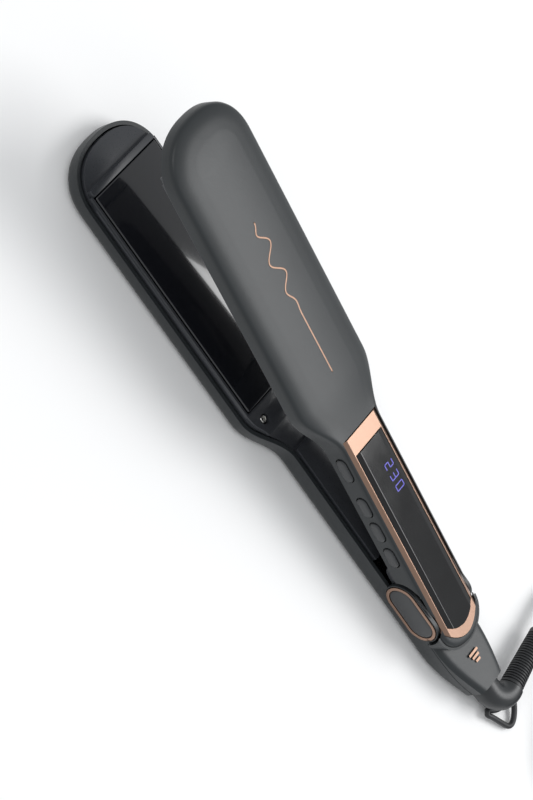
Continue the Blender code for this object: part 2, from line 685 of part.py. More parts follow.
def make_spring():
    """Torsion spring on the pin: one leg under the upper cover, the other on the lower one."""
    steps = 12
    span = SPRING_TURNS * (SPRING_WIRE + 0.3 * MM)
    points = [PIVOT + Vector((14 * MM, -span / 2, -SPRING_RADIUS - 0.6 * MM))]
    for step in range(SPRING_TURNS * steps + 1):
        angle = -math.pi / 2 - 2 * math.pi * step / steps
        y = -span / 2 + span * step / (SPRING_TURNS * steps)
        points.append(PIVOT + Vector((SPRING_RADIUS * math.cos(angle), y, SPRING_RADIUS * math.sin(angle))))
    points.append(PIVOT + Vector((-12 * MM, span / 2, -SPRING_RADIUS - 0.2 * MM)))
    spring = tube("hinge_spring", points, SPRING_WIRE / 2)
    finish(spring, (0.6, 0.6, 0.62), 0.3, 1.0)


def make_screws(holder):
    for prefix, flip in (("lower", False), ("upper", True)):
        for name, x, y in screw_places():
            seat = NECK_TOP - 2 * MM + GAP
            profile = [(0.0, seat + 1.3 * MM), (1.2 * MM, seat + 1.3 * MM), (1.9 * MM, seat + 0.7 * MM),
                       (1.9 * MM, seat), (1.2 * MM, seat), (1.2 * MM, WALL + 2.0 * MM),
                       (0.0, WALL + 1.4 * MM)]
            centre = (x, y, 2 * ARM_HEIGHT if flip else 0.0)
            screw = turned(f"{prefix}_screw_{name}", profile, centre, (0, 0, -1) if flip else (0, 0, 1), 16)
            finish(screw, (0.65, 0.65, 0.68), 0.25, 1.0, holder if flip else None)


# ---------------------------------------------------------------- display, boards and buttons

def frame_outline(grow, front_band=0.0, side_band=0.0, rear_band=0.0, steps=10):
    """Plan outline of the display frame: straight sides, square front and a bowed rear end."""
    front = FRAME_FRONT - front_band + grow
    side = FRAME_WIDTH / 2 - side_band + grow
    rear = FRAME_REAR + rear_band - grow
    bow = FRAME_ARC * (side / (FRAME_WIDTH / 2)) ** 2
    points = [(front, side), (front, -side)]
    for step in range(steps + 1):
        y = -side + 2 * side * step / steps
        points.append((rear + bow * (y / side) ** 2, y))
    return points


def make_display(holder):
    top = UPPER_TOP + FRAME_PROUD
    frame = prism("display_frame", frame_outline(0.0), top - FRAME_DEPTH, top, bevel=0.25 * MM)
    hole = frame_outline(0.0, FRAME_BAND_FRONT, FRAME_BAND_SIDE, FRAME_BAND_REAR)
    boolean(frame, prism("display_frame_hole", hole, top - 2 * FRAME_DEPTH, top + MM), holder=holder)
    finish(frame, (0.62, 0.39, 0.26), 0.22, 1.0, holder)
    base = frame_outline(-GAP, FRAME_BAND_FRONT, FRAME_BAND_SIDE, FRAME_BAND_REAR)
    crown = frame_outline(-GAP, FRAME_BAND_FRONT, FRAME_BAND_SIDE + LENS_FLANK, FRAME_BAND_REAR)
    bm = bmesh.new()
    levels = ((base, top - FRAME_DEPTH), (base, top - 0.7 * MM), (crown, top + LENS_PROUD))
    loops = [[bm.verts.new((x, y, z)) for x, y in outline] for outline, z in levels]
    count = len(base)
    for below, above in zip(loops, loops[1:]):
        for k in range(count):
            bm.faces.new((below[k], below[(k + 1) % count], above[(k + 1) % count], above[k]))
    bm.faces.new(loops[0])
    bm.faces.new(loops[-1])
    finish(from_bmesh("display_lens", bm), (0.01, 0.01, 0.012), 0.08, holder=holder)
    under = top - FRAME_DEPTH - GAP
    start = FRAME_FRONT - FRAME_BAND_FRONT
    module = box("display_module", (start - 38 * MM, -7 * MM, under - 3.2 * MM), (start - 4 * MM, 7 * MM, under))
    finish(module, (0.6, 0.6, 0.62), 0.5, holder=holder)
    board_top = under - 3.2 * MM - GAP
    board = box("control_board", (start - 62 * MM, -8 * MM, board_top - BOARD_THICKNESS),
                (start - 2 * MM, 8 * MM, board_top))
    finish(board, (0.02, 0.16, 0.07), 0.5, holder=holder)


def make_buttons(holder):
    back = HANDLE_HALF + BUTTON_PROUD - BUTTON_DEPTH
    switch_back = back - 0.5 * MM - 1.0 * MM
    places = button_places()
    board = box("button_board", (places[-1][1] - 6 * MM, switch_back - GAP - BOARD_THICKNESS, BUTTON_Z - 2.6 * MM),
                (places[0][1] + 6 * MM, switch_back - GAP, BUTTON_Z + 2.6 * MM))
    finish(board, (0.02, 0.16, 0.07), 0.5, holder=holder)
    for name, x, length in places:
        guide = empty(f"{name}_slide", (x, back, BUTTON_Z), holder)
        shape = stadium(length, BUTTON_HEIGHT, x, BUTTON_Z, steps=8)
        button = prism(name, shape, back, HANDLE_HALF + BUTTON_PROUD, "Y", bevel=0.35 * MM)
        finish(button, (0.07, 0.072, 0.078), 0.35, holder=guide)
        switch = box(name.replace("button", "switch"),
                     (x - SWITCH_SIZE / 2, switch_back, BUTTON_Z - SWITCH_SIZE / 2),
                     (x + SWITCH_SIZE / 2, switch_back + 1.0 * MM, BUTTON_Z + SWITCH_SIZE / 2))
        finish(switch, (0.05, 0.05, 0.05), 0.5, holder=holder)


# ---------------------------------------------------------------- swivel and cord

def swivel_path():
    """Centre line of the elbow: back from the tail, then round to the -Y side."""
    start = Vector((TAIL_X - GAP, 0.0, SWIVEL_Z))
    bend = Vector((start.x - 4.0 * MM, -ELBOW_BEND, SWIVEL_Z))
    points = [start, start - Vector((2.0 * MM, 0, 0))]
    steps = 9
    for step in range(steps + 1):
        angle = ELBOW_TURN * step / steps
        points.append(bend + Vector((-ELBOW_BEND * math.sin(angle), ELBOW_BEND * math.cos(angle), 0)))
    return points


def sleeve_frame():
    """Where the ribbed sleeve starts, and its direction."""
    path = swivel_path()
    heading = (path[-1] - path[-2]).normalized()
    return path[-1] + heading * GAP, heading


def make_swivel(holder):
    path = swivel_path()
    count = len(path)
    radii = [blend(ELBOW_RADIUS, SLEEVE_RADIUS + 0.5 * MM, index / (count - 1)) for index in range(count)]
    elbow = as_mesh(tube("swivel_elbow", path, ELBOW_RADIUS, 5, radii))
    neck = cylinder("swivel_neck", NECK_RADIUS, (TAIL_X + 7 * MM, 0, SWIVEL_Z), (TAIL_X - 3 * MM, 0, SWIVEL_Z))
    boolean(elbow, neck, "UNION", holder)
    finish(elbow, (0.04, 0.042, 0.045), 0.45, holder=holder)
    start, heading = sleeve_frame()
    profile = [(0.0, SLEEVE_LENGTH), (SLEEVE_END_RADIUS * 0.8, SLEEVE_LENGTH)]
    pitch = (SLEEVE_LENGTH - 3 * MM) / SLEEVE_RIBS
    for rib in range(SLEEVE_RIBS, 0, -1):
        radius = blend(SLEEVE_RADIUS, SLEEVE_END_RADIUS, rib / SLEEVE_RIBS)
        high = rib * pitch + 1 * MM
        profile += [(radius, high), (radius, high - 0.6 * pitch), (radius - 0.7 * MM, high - 0.62 * pitch),
                    (radius - 0.7 * MM, high - 0.98 * pitch)]
    profile += [(SLEEVE_RADIUS, 0.9 * MM), (SLEEVE_RADIUS, 0.0), (0.0, 0.0)]
    sleeve = turned("strain_relief", profile, start, heading, 16)
    finish(sleeve, (0.03, 0.032, 0.035), 0.55, holder=holder)
    make_loop(holder)


def make_loop(holder):
    """Moulded hanging loop that runs round under the elbow's outer side and droops to the table."""
    centre = Vector((TAIL_X - GAP - 4.0 * MM, -ELBOW_BEND, LOOP_Z))
    reach = ELBOW_BEND + math.sqrt((ELBOW_RADIUS + LOOP_WIRE + GAP) ** 2 - (SWIVEL_Z - LOOP_Z) ** 2)
    points = []
    for degrees in (40, 55, 70, 85, 100):
        angle = math.radians(degrees)
        points.append(centre + Vector((-math.sin(angle), math.cos(angle), 0)) * reach)
    points += [centre + Vector(place) * MM for place in LOOP_LEGS]
    curve = tube("hanging_loop", smooth_path(points + [points[0]], 41)[:-1], LOOP_WIRE)
    curve.data.splines[0].use_cyclic_u = True
    finish(curve, (0.03, 0.032, 0.035), 0.5, holder=holder)


def cord_route():
    """The stretch from the strain relief down to the table and round into the coil."""
    start, heading = sleeve_frame()
    exit_point = start + heading * (SLEEVE_LENGTH + GAP)
    low = CORD_DIAMETER / 2 + 0.1 * MM
    side = COIL_CENTRE + Vector((0, -(COIL_OUTER + CORD_DIAMETER / 2 + GAP), low))
    laid = [Vector((TAIL_X, 0, 0)) + Vector(place) * MM for place in CORD_ROUTE]
    chosen = [exit_point, exit_point + heading * 12 * MM, *laid, side]
    return smooth_path(chosen, 17)


def make_cord(holder):
    lead = tube("cord", cord_route(), CORD_DIAMETER / 2, CORD_SIDES)
    finish(lead, (0.02, 0.02, 0.022), 0.5, holder=holder)
    profile = [(COIL_OUTER, COIL_HEIGHT - 3 * MM), (COIL_OUTER, 3 * MM), (COIL_OUTER - 3 * MM, 0.0),
               (COIL_INNER + 3 * MM, 0.0), (COIL_INNER, 3 * MM), (COIL_INNER, COIL_HEIGHT - 3 * MM),
               (COIL_INNER + 3 * MM, COIL_HEIGHT), (COIL_OUTER - 3 * MM, COIL_HEIGHT)]
    coil = turned("cord_coil", profile, COIL_CENTRE, (0, 0, 1), 32)
    finish(coil, (0.02, 0.02, 0.022), 0.5, holder=holder)
    inner, outer, width, thick = COIL_INNER - 3 * GAP, COIL_OUTER + GAP, 7 * MM, 1.2 * MM
    x = COIL_CENTRE.x
    shell = box("cord_tie", (x + inner - thick, COIL_CENTRE.y - width / 2, 0.0),
                (x + outer + thick, COIL_CENTRE.y + width / 2, COIL_HEIGHT + GAP + thick))
    boolean(shell, box("cord_tie_inside", (x + inner, COIL_CENTRE.y - width, -MM),
                       (x + outer, COIL_CENTRE.y + width, COIL_HEIGHT + GAP)), holder=holder)
    finish(shell, (0.02, 0.02, 0.022), 0.6, holder=holder)
    make_plug(holder)


def make_plug(holder):
    """Flat two-pin plug lying on the coil."""
    y = COIL_CENTRE.y - (COIL_INNER + COIL_OUTER) / 2 + 4 * MM
    z = COIL_HEIGHT + GAP
    x = COIL_CENTRE.x + 9.5 * MM
    bm = bmesh.new()
    bmesh.ops.create_cube(bm, size=1.0)
    bmesh.ops.scale(bm, vec=(PLUG_LENGTH, PLUG_WIDTH, PLUG_THICKNESS), verts=bm.verts)
    tail = [v for v in bm.verts if v.co.x > 0]
    bmesh.ops.scale(bm, vec=(1.0, 0.5, 0.85), verts=tail)
    bmesh.ops.bevel(bm, geom=bm.edges[:], offset=2.2 * MM, segments=2, affect="EDGES", profile=0.5)
    body = from_bmesh("plug_body", bm)
    body.location = (x, y, z + PLUG_THICKNESS / 2)
    finish(body, (0.02, 0.02, 0.022), 0.45, holder=holder)
    face = x - PLUG_LENGTH / 2
    for name, side in (("left", 1), ("right", -1)):
        pin_y = y + side * PLUG_PIN_SPACING / 2
        pin = cylinder(f"plug_pin_{name}", PLUG_PIN_RADIUS,
                       (face - PLUG_PIN_LENGTH, pin_y, z + PLUG_THICKNESS / 2),
                       (face - GAP, pin_y, z + PLUG_THICKNESS / 2), 16)
        finish(pin, (0.8, 0.8, 0.82), 0.2, 1.0, holder)


def make_tail_parts():
    """Bush that carries the swivel's neck, and the two leads that run forward from it."""
    outer = TAIL_WIDTH / 2 - WALL - 1.4 * MM
    inner = NECK_RADIUS + GAP
    profile = [(outer, 5 * MM), (outer, 0.0), (inner, 0.0), (inner, 5 * MM)]
    bush = turned("swivel_bush", profile, (TAIL_X + 0.4 * MM, 0, SWIVEL_Z), (1, 0, 0), 24)
    finish(bush, (0.5, 0.5, 0.5), 0.5)
    for name, side in (("left", 1), ("right", -1)):
        points = [Vector((TAIL_X + 8 * MM, side * 2 * MM, SWIVEL_Z)), Vector((TAIL_X + 20 * MM, side * 4 * MM, 6 * MM)),
                  Vector((PIVOT.x, side * 6 * MM, 4.5 * MM)), Vector((SHOULDER_REAR, side * 6 * MM, 4.5 * MM)),
                  Vector((PLATE_REAR + 8 * MM, side * 6 * MM, 3.6 * MM))]
        lead = tube(f"heater_lead_{name}", smooth_path(points, 16), 0.9 * MM)
        finish(lead, (0.45, 0.03, 0.03) if side > 0 else (0.03, 0.08, 0.35), 0.5)


# ---------------------------------------------------------------- assembly

upper_arm = empty("upper_arm_hinge", PIVOT)
lower_slide = empty("lower_plate_slide", (PLATE_X, 0, ARM_HEIGHT))
upper_slide = empty("upper_plate_slide", (PLATE_X, 0, ARM_HEIGHT), upper_arm)
swivel = empty("swivel_axis", (TAIL_X, 0, SWIVEL_Z))

make_lower_shell()
make_tail_cover()
make_upper_shell(upper_arm)
make_covers(upper_arm)
make_plate_set("lower", False, lower_slide)
make_plate_set("upper", True, upper_slide, upper_arm)
make_hinge()
make_spring()
make_screws(upper_arm)
make_display(upper_arm)
make_buttons(upper_arm)
make_tail_parts()
make_swivel(swivel)
make_cord(swivel)

upper_arm.rotation_euler = (0.0, -OPEN_ANGLE, 0.0)
bpy.context.view_layer.update()
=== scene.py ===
"""Looks of the flat iron: fine casings, plates, display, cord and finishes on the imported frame.

Metres, +Z up, X towards the tip. Pieces of the upper arm are shaped closed and then swung open.
"""

import math

import bmesh
import bpy
from mathutils import Euler, Matrix, Vector


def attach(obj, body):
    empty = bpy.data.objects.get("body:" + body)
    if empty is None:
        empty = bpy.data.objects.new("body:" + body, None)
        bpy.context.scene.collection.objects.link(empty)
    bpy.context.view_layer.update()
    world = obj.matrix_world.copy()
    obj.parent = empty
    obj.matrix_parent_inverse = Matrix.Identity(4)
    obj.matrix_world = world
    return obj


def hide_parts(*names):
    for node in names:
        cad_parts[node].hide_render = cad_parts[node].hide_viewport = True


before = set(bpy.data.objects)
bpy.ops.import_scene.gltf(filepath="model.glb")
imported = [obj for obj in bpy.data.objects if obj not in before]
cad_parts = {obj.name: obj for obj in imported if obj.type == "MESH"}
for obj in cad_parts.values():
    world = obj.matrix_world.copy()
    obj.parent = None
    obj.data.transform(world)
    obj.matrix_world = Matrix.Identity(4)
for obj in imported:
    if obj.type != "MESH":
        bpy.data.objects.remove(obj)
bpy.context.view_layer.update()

MM = 0.001

# Sizes of the casings, as in the CAD source
TIP_X = 146.75 * MM
TAIL_X = -TIP_X
TIP_DEPTH = 23.0 * MM
TIP_POWER = 2.3
TIP_CENTRE = TIP_X - TIP_DEPTH
HEAD_HALF = 24.5 * MM
HANDLE_HALF = 13.9 * MM
TAIL_HALF = 8.0 * MM
TAIL_LENGTH = 28.7 * MM
SHOULDER = (-10.75 * MM, 17.25 * MM)
CLOSED_TOP = 26.0 * MM  # top of the head while the arms are closed
HEAD_RIM = 9.0 * MM  # the lower casing's rim at the head, the grip and the tail
GRIP_RIM = 11.5 * MM
TAIL_RIM = 8.5 * MM
TAIL_LIFT = 1.4 * MM
TAIL_TOP = 14.4 * MM  # the tail's cover, from its end to the hinge
TAIL_TOP_END = 15.6 * MM
GRIP_LOW = 14.8 * MM  # the upper casing's rim at the grip and behind the pivot
REAR_LOW = 23.5 * MM
REAR_BLEND = 14.0 * MM
WALL = 1.8 * MM
UPPER_WALL = 1.2 * MM  # thinner, because the grip's corners are tight
GAP = 0.3 * MM
PIVOT = Vector((-95.8 * MM, 0.0, 14.6 * MM))
OPEN_ANGLE = math.radians(10.46)
UPPER_REAR = PIVOT.x - 25.4 * MM
UPPER_TOP = 25.2 * MM
REAR_DEPTH = HANDLE_HALF * 0.85  # how far the upper arm's round rear end reaches
CHEEK_FACE = 14.3 * MM
CHEEK_THICKNESS = 1.9 * MM
CHEEK_LENGTH = 31.1 * MM
CHEEK_HEIGHT = 16.9 * MM
CAP_LENGTH = 29.5 * MM
CAP_HEIGHT = 15.3 * MM
RING_WIDTH = 1.5 * MM
SWEEP_ROOM = 1.2 * MM  # round the cheek, where the upper arm turns past it
PIN_RADIUS = 2.0 * MM
PIN_CHAMFER = 0.3 * MM
SPRING_TURNS = 5
SPRING_RADIUS = 4.4 * MM
SPRING_WIRE = 1.2 * MM
SPRING_FRONT = 14.0 * MM  # the spring's two legs
SPRING_REAR = 12.0 * MM
FLOOR_FRONT = -68.4 * MM  # the black plate under the hinge, which hides the leads; its near-black colour is painted shade
FLOOR_LOW = 7.4 * MM
FLOOR_HIGH = 8.4 * MM
UNDER_FRONT = -113.0 * MM  # the black underside of the upper arm's rear end: a black sheet that is painted shade
UNDER_HALF = 12.9 * MM
UNDER_LOW = 17.6 * MM
UNDER_HIGH = 23.6 * MM
WAVE_FRONT = 96.0 * MM  # the printed line on the head
WAVE_REAR = 22.0 * MM
WAVE_HEIGHT = 3.0 * MM
PRINT_FLATNESS = 0.15
MARK_X = -134.5 * MM  # the bars on the tail
MARK_LOW = 15.5 * MM
MARK_HIGH = 15.84 * MM
SCREW_X = 11.85 * MM
SCREW_Y = 15.3 * MM
SCREW_SEAT = 10.3 * MM
SLOT_LENGTH = 2.3 * MM
SLOT_WIDTH = 0.5 * MM
FRAME_FRONT = -5.7 * MM
FRAME_REAR = -117.2 * MM
FRAME_HALF = 12.0 * MM
FRAME_ARC = 8.0 * MM
FRAME_TOP = 25.6 * MM
FRAME_DEPTH = 2.6 * MM
FRONT_BAND = 8.3 * MM
REAR_BAND = 5.0 * MM
SIDE_INNER = 9.7 * MM  # the lens opening, to each side
BAND_DROP = 1.2 * MM  # how far the side bands slope down
LENS_FLANK = 2.6 * MM
LENS_RISE = 0.5 * MM
BUTTON_Z = 20.2 * MM
BUTTON_HEIGHT = 4.8 * MM
BUTTON_PROUD = 0.9 * MM
BUTTON_DEPTH = 2.5 * MM
BUTTONS = {"power_button": (-18.4 * MM, 11.4 * MM), "plus_button": (-37.9 * MM, 9.8 * MM),
           "minus_button": (-51.0 * MM, 9.8 * MM), "mode_button": (-64.8 * MM, 9.8 * MM)}


# ---- small helpers

def hexcolour(code):
    """An sRGB hex value as linear RGBA."""
    channels = [int(code[k:k + 2], 16) / 255 for k in (0, 2, 4)]
    return (*(c / 12.92 if c <= 0.04045 else ((c + 0.055) / 1.055) ** 2.4 for c in channels), 1.0)


def mix(a, b, t):
    return a + (b - a) * t


def ease(value, low, high):
    """0 below low, 1 above high, and a cosine ramp between them."""
    t = min(max((value - low) / (high - low), 0.0), 1.0)
    return 0.5 - 0.5 * math.cos(math.pi * t)


def smooth_line(points, steps):
    """The points joined by a smooth curve, with steps pieces between each two."""
    points = [Vector(p) for p in points]
    ends = [points[0] * 2 - points[1], *points, points[-1] * 2 - points[-2]]
    made = []
    for a, b, c, d in zip(ends, ends[1:], ends[2:], ends[3:]):
        for step in range(steps):
            t = step / steps
            made.append(0.5 * (2 * b + (c - a) * t + (2 * a - 5 * b + 4 * c - d) * t * t
                               + (3 * b - a - 3 * c + d) * t ** 3))
    return made + [points[-1]]


def stadium(length, height, centre_x, centre_z, turn=0.0, steps=16):
    """A flat outline with round ends, turned about its centre."""
    radius = height / 2
    run = length / 2 - radius
    points = []
    for side in (1, -1):
        for step in range(steps + 1):
            angle = -math.pi / 2 + math.pi * step / steps
            x = side * (run + radius * math.cos(angle))
            z = side * radius * math.sin(angle)
            points.append((centre_x + x * math.cos(turn) - z * math.sin(turn),
                           centre_z + x * math.sin(turn) + z * math.cos(turn)))
    return points


def new_piece(name, data):
    made = bpy.data.objects.new(name, data)
    bpy.context.scene.collection.objects.link(made)
    return made


def from_bmesh(name, bm):
    bmesh.ops.recalc_face_normals(bm, faces=bm.faces)
    mesh = bpy.data.meshes.new(name)
    closed(bm, mesh)
    return new_piece(name, mesh)


def opened(mesh):
    """A mesh as a bmesh, to be edited and given to closed()."""
    bm = bmesh.new()
    bm.from_mesh(mesh)
    return bm


def closed(bm, mesh):
    """Writes an edited bmesh back to its mesh."""
    bm.to_mesh(mesh)
    bm.free()


def settle(obj):
    """Applies a piece's modifiers and place, or turns its curve or text into a mesh at the origin."""
    bpy.context.view_layer.update()
    graph = bpy.context.evaluated_depsgraph_get()
    mesh = bpy.data.meshes.new_from_object(obj.evaluated_get(graph))
    mesh.transform(obj.matrix_world)
    name = obj.name
    bpy.data.objects.remove(obj)
    bm = opened(mesh)
    bmesh.ops.remove_doubles(bm, verts=bm.verts, dist=1e-6)
    closed(bm, mesh)
    mesh.name = name
    mesh.materials.clear()
    return new_piece(name, mesh)


def soften(obj, width, angle=35.0, segments=3):
    """Rounds a piece's sharp edges by width and shades it smooth."""
    obj.data.shade_smooth()
    bevel = obj.modifiers.new("soft edges", "BEVEL")
    bevel.width = width
    bevel.segments = segments
    bevel.limit_method = "ANGLE"
    bevel.angle_limit = math.radians(angle)
    bevel.harden_normals = True
    bevel.use_clamp_overlap = True
    return obj


def cut(obj, cutter, operation="DIFFERENCE"):
    """Takes the cutter out of a piece, or joins it on, and drops the cutter."""
    change = obj.modifiers.new("cut", "BOOLEAN")
    change.operation = operation
    change.object = cutter
    change.solver = "EXACT"
    made = settle(obj)
    bpy.data.objects.remove(cutter)
    return made


def prism(name, outline, low, high, axis="Z"):
    """A closed flat outline extruded along an axis, with the outline in the other two."""
    bm = bmesh.new()
    if axis == "Z":
        points, shift = [(x, y, low) for x, y in outline], (0, 0, high - low)
    elif axis == "Y":
        points, shift = [(x, low, z) for x, z in outline], (0, high - low, 0)
    else:
        points, shift = [(low, y, z) for y, z in outline], (high - low, 0, 0)
    face = bm.faces.new([bm.verts.new(point) for point in points])
    grown = bmesh.ops.extrude_face_region(bm, geom=[face])
    moved = [item for item in grown["geom"] if isinstance(item, bmesh.types.BMVert)]
    bmesh.ops.translate(bm, vec=shift, verts=moved)
    return from_bmesh(name, bm)


def block(name, low, high):
    """A plain rectangular block between two corners."""
    low, high = Vector(low), Vector(high)
    bm = bmesh.new()
    bmesh.ops.create_cube(bm, size=1.0)
    bmesh.ops.scale(bm, vec=high - low, verts=bm.verts)
    bmesh.ops.translate(bm, vec=(low + high) / 2, verts=bm.verts)
    return from_bmesh(name, bm)


def turned(name, profile, place, axis, steps=64):
    """A profile of (radius, height) pairs spun about the given axis through place."""
    bm = bmesh.new()
    verts = [bm.verts.new((radius, 0, height)) for radius, height in profile]
    edges = [bm.edges.new(pair) for pair in zip(verts, verts[1:])]
    bmesh.ops.spin(bm, geom=verts + edges, cent=(0, 0, 0), axis=(0, 0, 1), dvec=(0, 0, 0),
                   angle=2 * math.pi, steps=steps, use_merge=True, use_duplicate=False)
    bmesh.ops.remove_doubles(bm, verts=bm.verts, dist=1e-7)
    turn = Vector((0, 0, 1)).rotation_difference(Vector(axis)).to_matrix().to_4x4()
    bmesh.ops.transform(bm, matrix=Matrix.Translation(place) @ turn, verts=bm.verts)
    return from_bmesh(name, bm)


def wire(name, points, radius, radii=None, cyclic=False, resolution=6):
    """A round wire, cord or moulded bar along the points."""
    curve = bpy.data.curves.new(name, "CURVE")
    curve.dimensions = "3D"
    curve.bevel_depth = radius
    curve.bevel_resolution = resolution
    curve.use_fill_caps = True
    line = curve.splines.new("POLY")
    line.points.add(len(points) - 1)
    line.use_cyclic_u = cyclic
    for index, point in enumerate(points):
        line.points[index].co = (*point, 1.0)
        line.points[index].radius = radii[index] / radius if radii else 1.0
    return new_piece(name, curve)


def copy_of(node, name):
    """A merged copy of a CAD node's mesh, to be rounded or cut further."""
    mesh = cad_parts[node].data.copy()
    mesh.materials.clear()
    bm = opened(mesh)
    bmesh.ops.remove_doubles(bm, verts=bm.verts, dist=2e-6)
    bmesh.ops.dissolve_limit(bm, angle_limit=math.radians(1.0), verts=bm.verts, edges=bm.edges)
    closed(bm, mesh)
    mesh.name = name
    return new_piece(name, mesh)


def pillow(piece, side, steps):
    """Crowns the face on the given side of Y by (inset, rise) steps in mm."""
    bm = opened(piece.data)
    face = max(bm.faces, key=lambda f: side * f.calc_center_median().y)
    for inset, rise in steps:
        bmesh.ops.inset_region(bm, faces=[face], thickness=inset * MM)
        bmesh.ops.translate(bm, vec=(0, side * rise * MM, 0), verts=face.verts)
    closed(bm, piece.data)


def swing_open(*pieces):
    """Turns pieces shaped with the arms closed to where the open upper arm holds them."""
    turn = Matrix.Translation(PIVOT) @ Matrix.Rotation(-OPEN_ANGLE, 4, "Y") @ Matrix.Translation(-PIVOT)
    for piece in pieces:
        piece.data.transform(turn)


def dress(obj, body, look, stands_for=()):
    """Gives a piece its material, its body and the CAD nodes it stands for."""
    obj.data.materials.clear()
    obj.data.materials.append(finishes[look])
    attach(obj, body)
    if stands_for:
        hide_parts(*stands_for)
    return obj


# ---- materials

def add(tree, kind, inputs=None, **settings):
    """Adds a node; inputs are sockets to link from or plain values."""
    made = tree.nodes.new(kind)
    for name, value in settings.items():
        setattr(made, name, value)
    for name, value in (inputs or {}).items():
        if isinstance(value, bpy.types.NodeSocket):
            tree.links.new(value, made.inputs[name])
        else:
            made.inputs[name].default_value = value
    return made


def new_material(name, colour, roughness, metallic=0.0, **more):
    made = bpy.data.materials.new(name)
    made.use_nodes = True
    shader = made.node_tree.nodes["Principled BSDF"]
    shader.inputs["Base Color"].default_value = hexcolour(colour)
    shader.inputs["Roughness"].default_value = roughness
    shader.inputs["Metallic"].default_value = metallic
    for socket, value in more.items():
        shader.inputs[socket.replace("_", " ")].default_value = value
    return made, made.node_tree, shader


def blend_colours(tree, shader, factor, dark, light):
    """Lets the colour run between two hex values as the factor goes from 0 to 1."""
    blend = add(tree, "ShaderNodeMix", {"Factor": factor}, data_type="RGBA")
    blend.inputs[6].default_value = hexcolour(dark)
    blend.inputs[7].default_value = hexcolour(light)
    tree.links.new(blend.outputs[2], shader.inputs["Base Color"])


def tint(tree, shader, where, scale, dark, light):
    """Lets the colour wander between two hex values with soft noise of the given scale."""
    noise = add(tree, "ShaderNodeTexNoise", {"Vector": where, "Scale": scale, "Detail": 2.0})
    blend_colours(tree, shader, noise.outputs["Fac"], dark, light)


def vary_gloss(tree, shader, factor, smooth, rough, low=0.0, high=1.0):
    """Lets the roughness run from smooth to rough as the factor goes from low to high."""
    gloss = add(tree, "ShaderNodeMapRange", {"Value": factor, "From Min": low, "From Max": high,
                                             "To Min": smooth, "To Max": rough})
    tree.links.new(gloss.outputs["Result"], shader.inputs["Roughness"])


def raise_grain(tree, shader, height, strength, depth):
    """Bumps the surface by the height, as deep as depth."""
    bump = add(tree, "ShaderNodeBump", {"Height": height, "Strength": strength, "Distance": depth})
    tree.links.new(bump.outputs["Normal"], shader.inputs["Normal"])


def moulded(name, dark, light, smooth, rough, grain_mm, depth_mm, **more):
    """Moulded plastic or rubber: a fine grain from the tool, and colour and gloss that wander a little."""
    made, tree, shader = new_material(name, light, (smooth + rough) / 2, **more)
    where = add(tree, "ShaderNodeTexCoord").outputs["Object"]
    tint(tree, shader, where, 1 / (25 * MM), dark, light)
    grain = add(tree, "ShaderNodeTexNoise", {"Vector": where, "Scale": 1 / (grain_mm * MM), "Detail": 3.0})
    vary_gloss(tree, shader, grain.outputs["Fac"], smooth, rough, 0.3, 0.7)
    raise_grain(tree, shader, grain.outputs["Fac"], 0.35, depth_mm * MM)
    return made


def brushed(name, dark, light, smooth, rough, line_mm):
    """Metal with fine lines left by brushing along X, drawn as coarse as they need to be to show."""
    made, tree, shader = new_material(name, light, (smooth + rough) / 2, 1.0)
    where = add(tree, "ShaderNodeTexCoord").outputs["Object"]
    spread = add(tree, "ShaderNodeMapping", {"Vector": where, "Scale": (0.04, 1.0, 1.0)})
    lines = add(tree, "ShaderNodeTexNoise", {"Vector": spread.outputs["Vector"],
                                             "Scale": 1 / (line_mm * MM), "Detail": 2.0})
    vary_gloss(tree, shader, lines.outputs["Fac"], smooth, rough)
    raise_grain(tree, shader, lines.outputs["Fac"], 0.15, 0.02 * MM)
    tint(tree, shader, spread.outputs["Vector"], 1 / (6 * MM), dark, light)
    return made


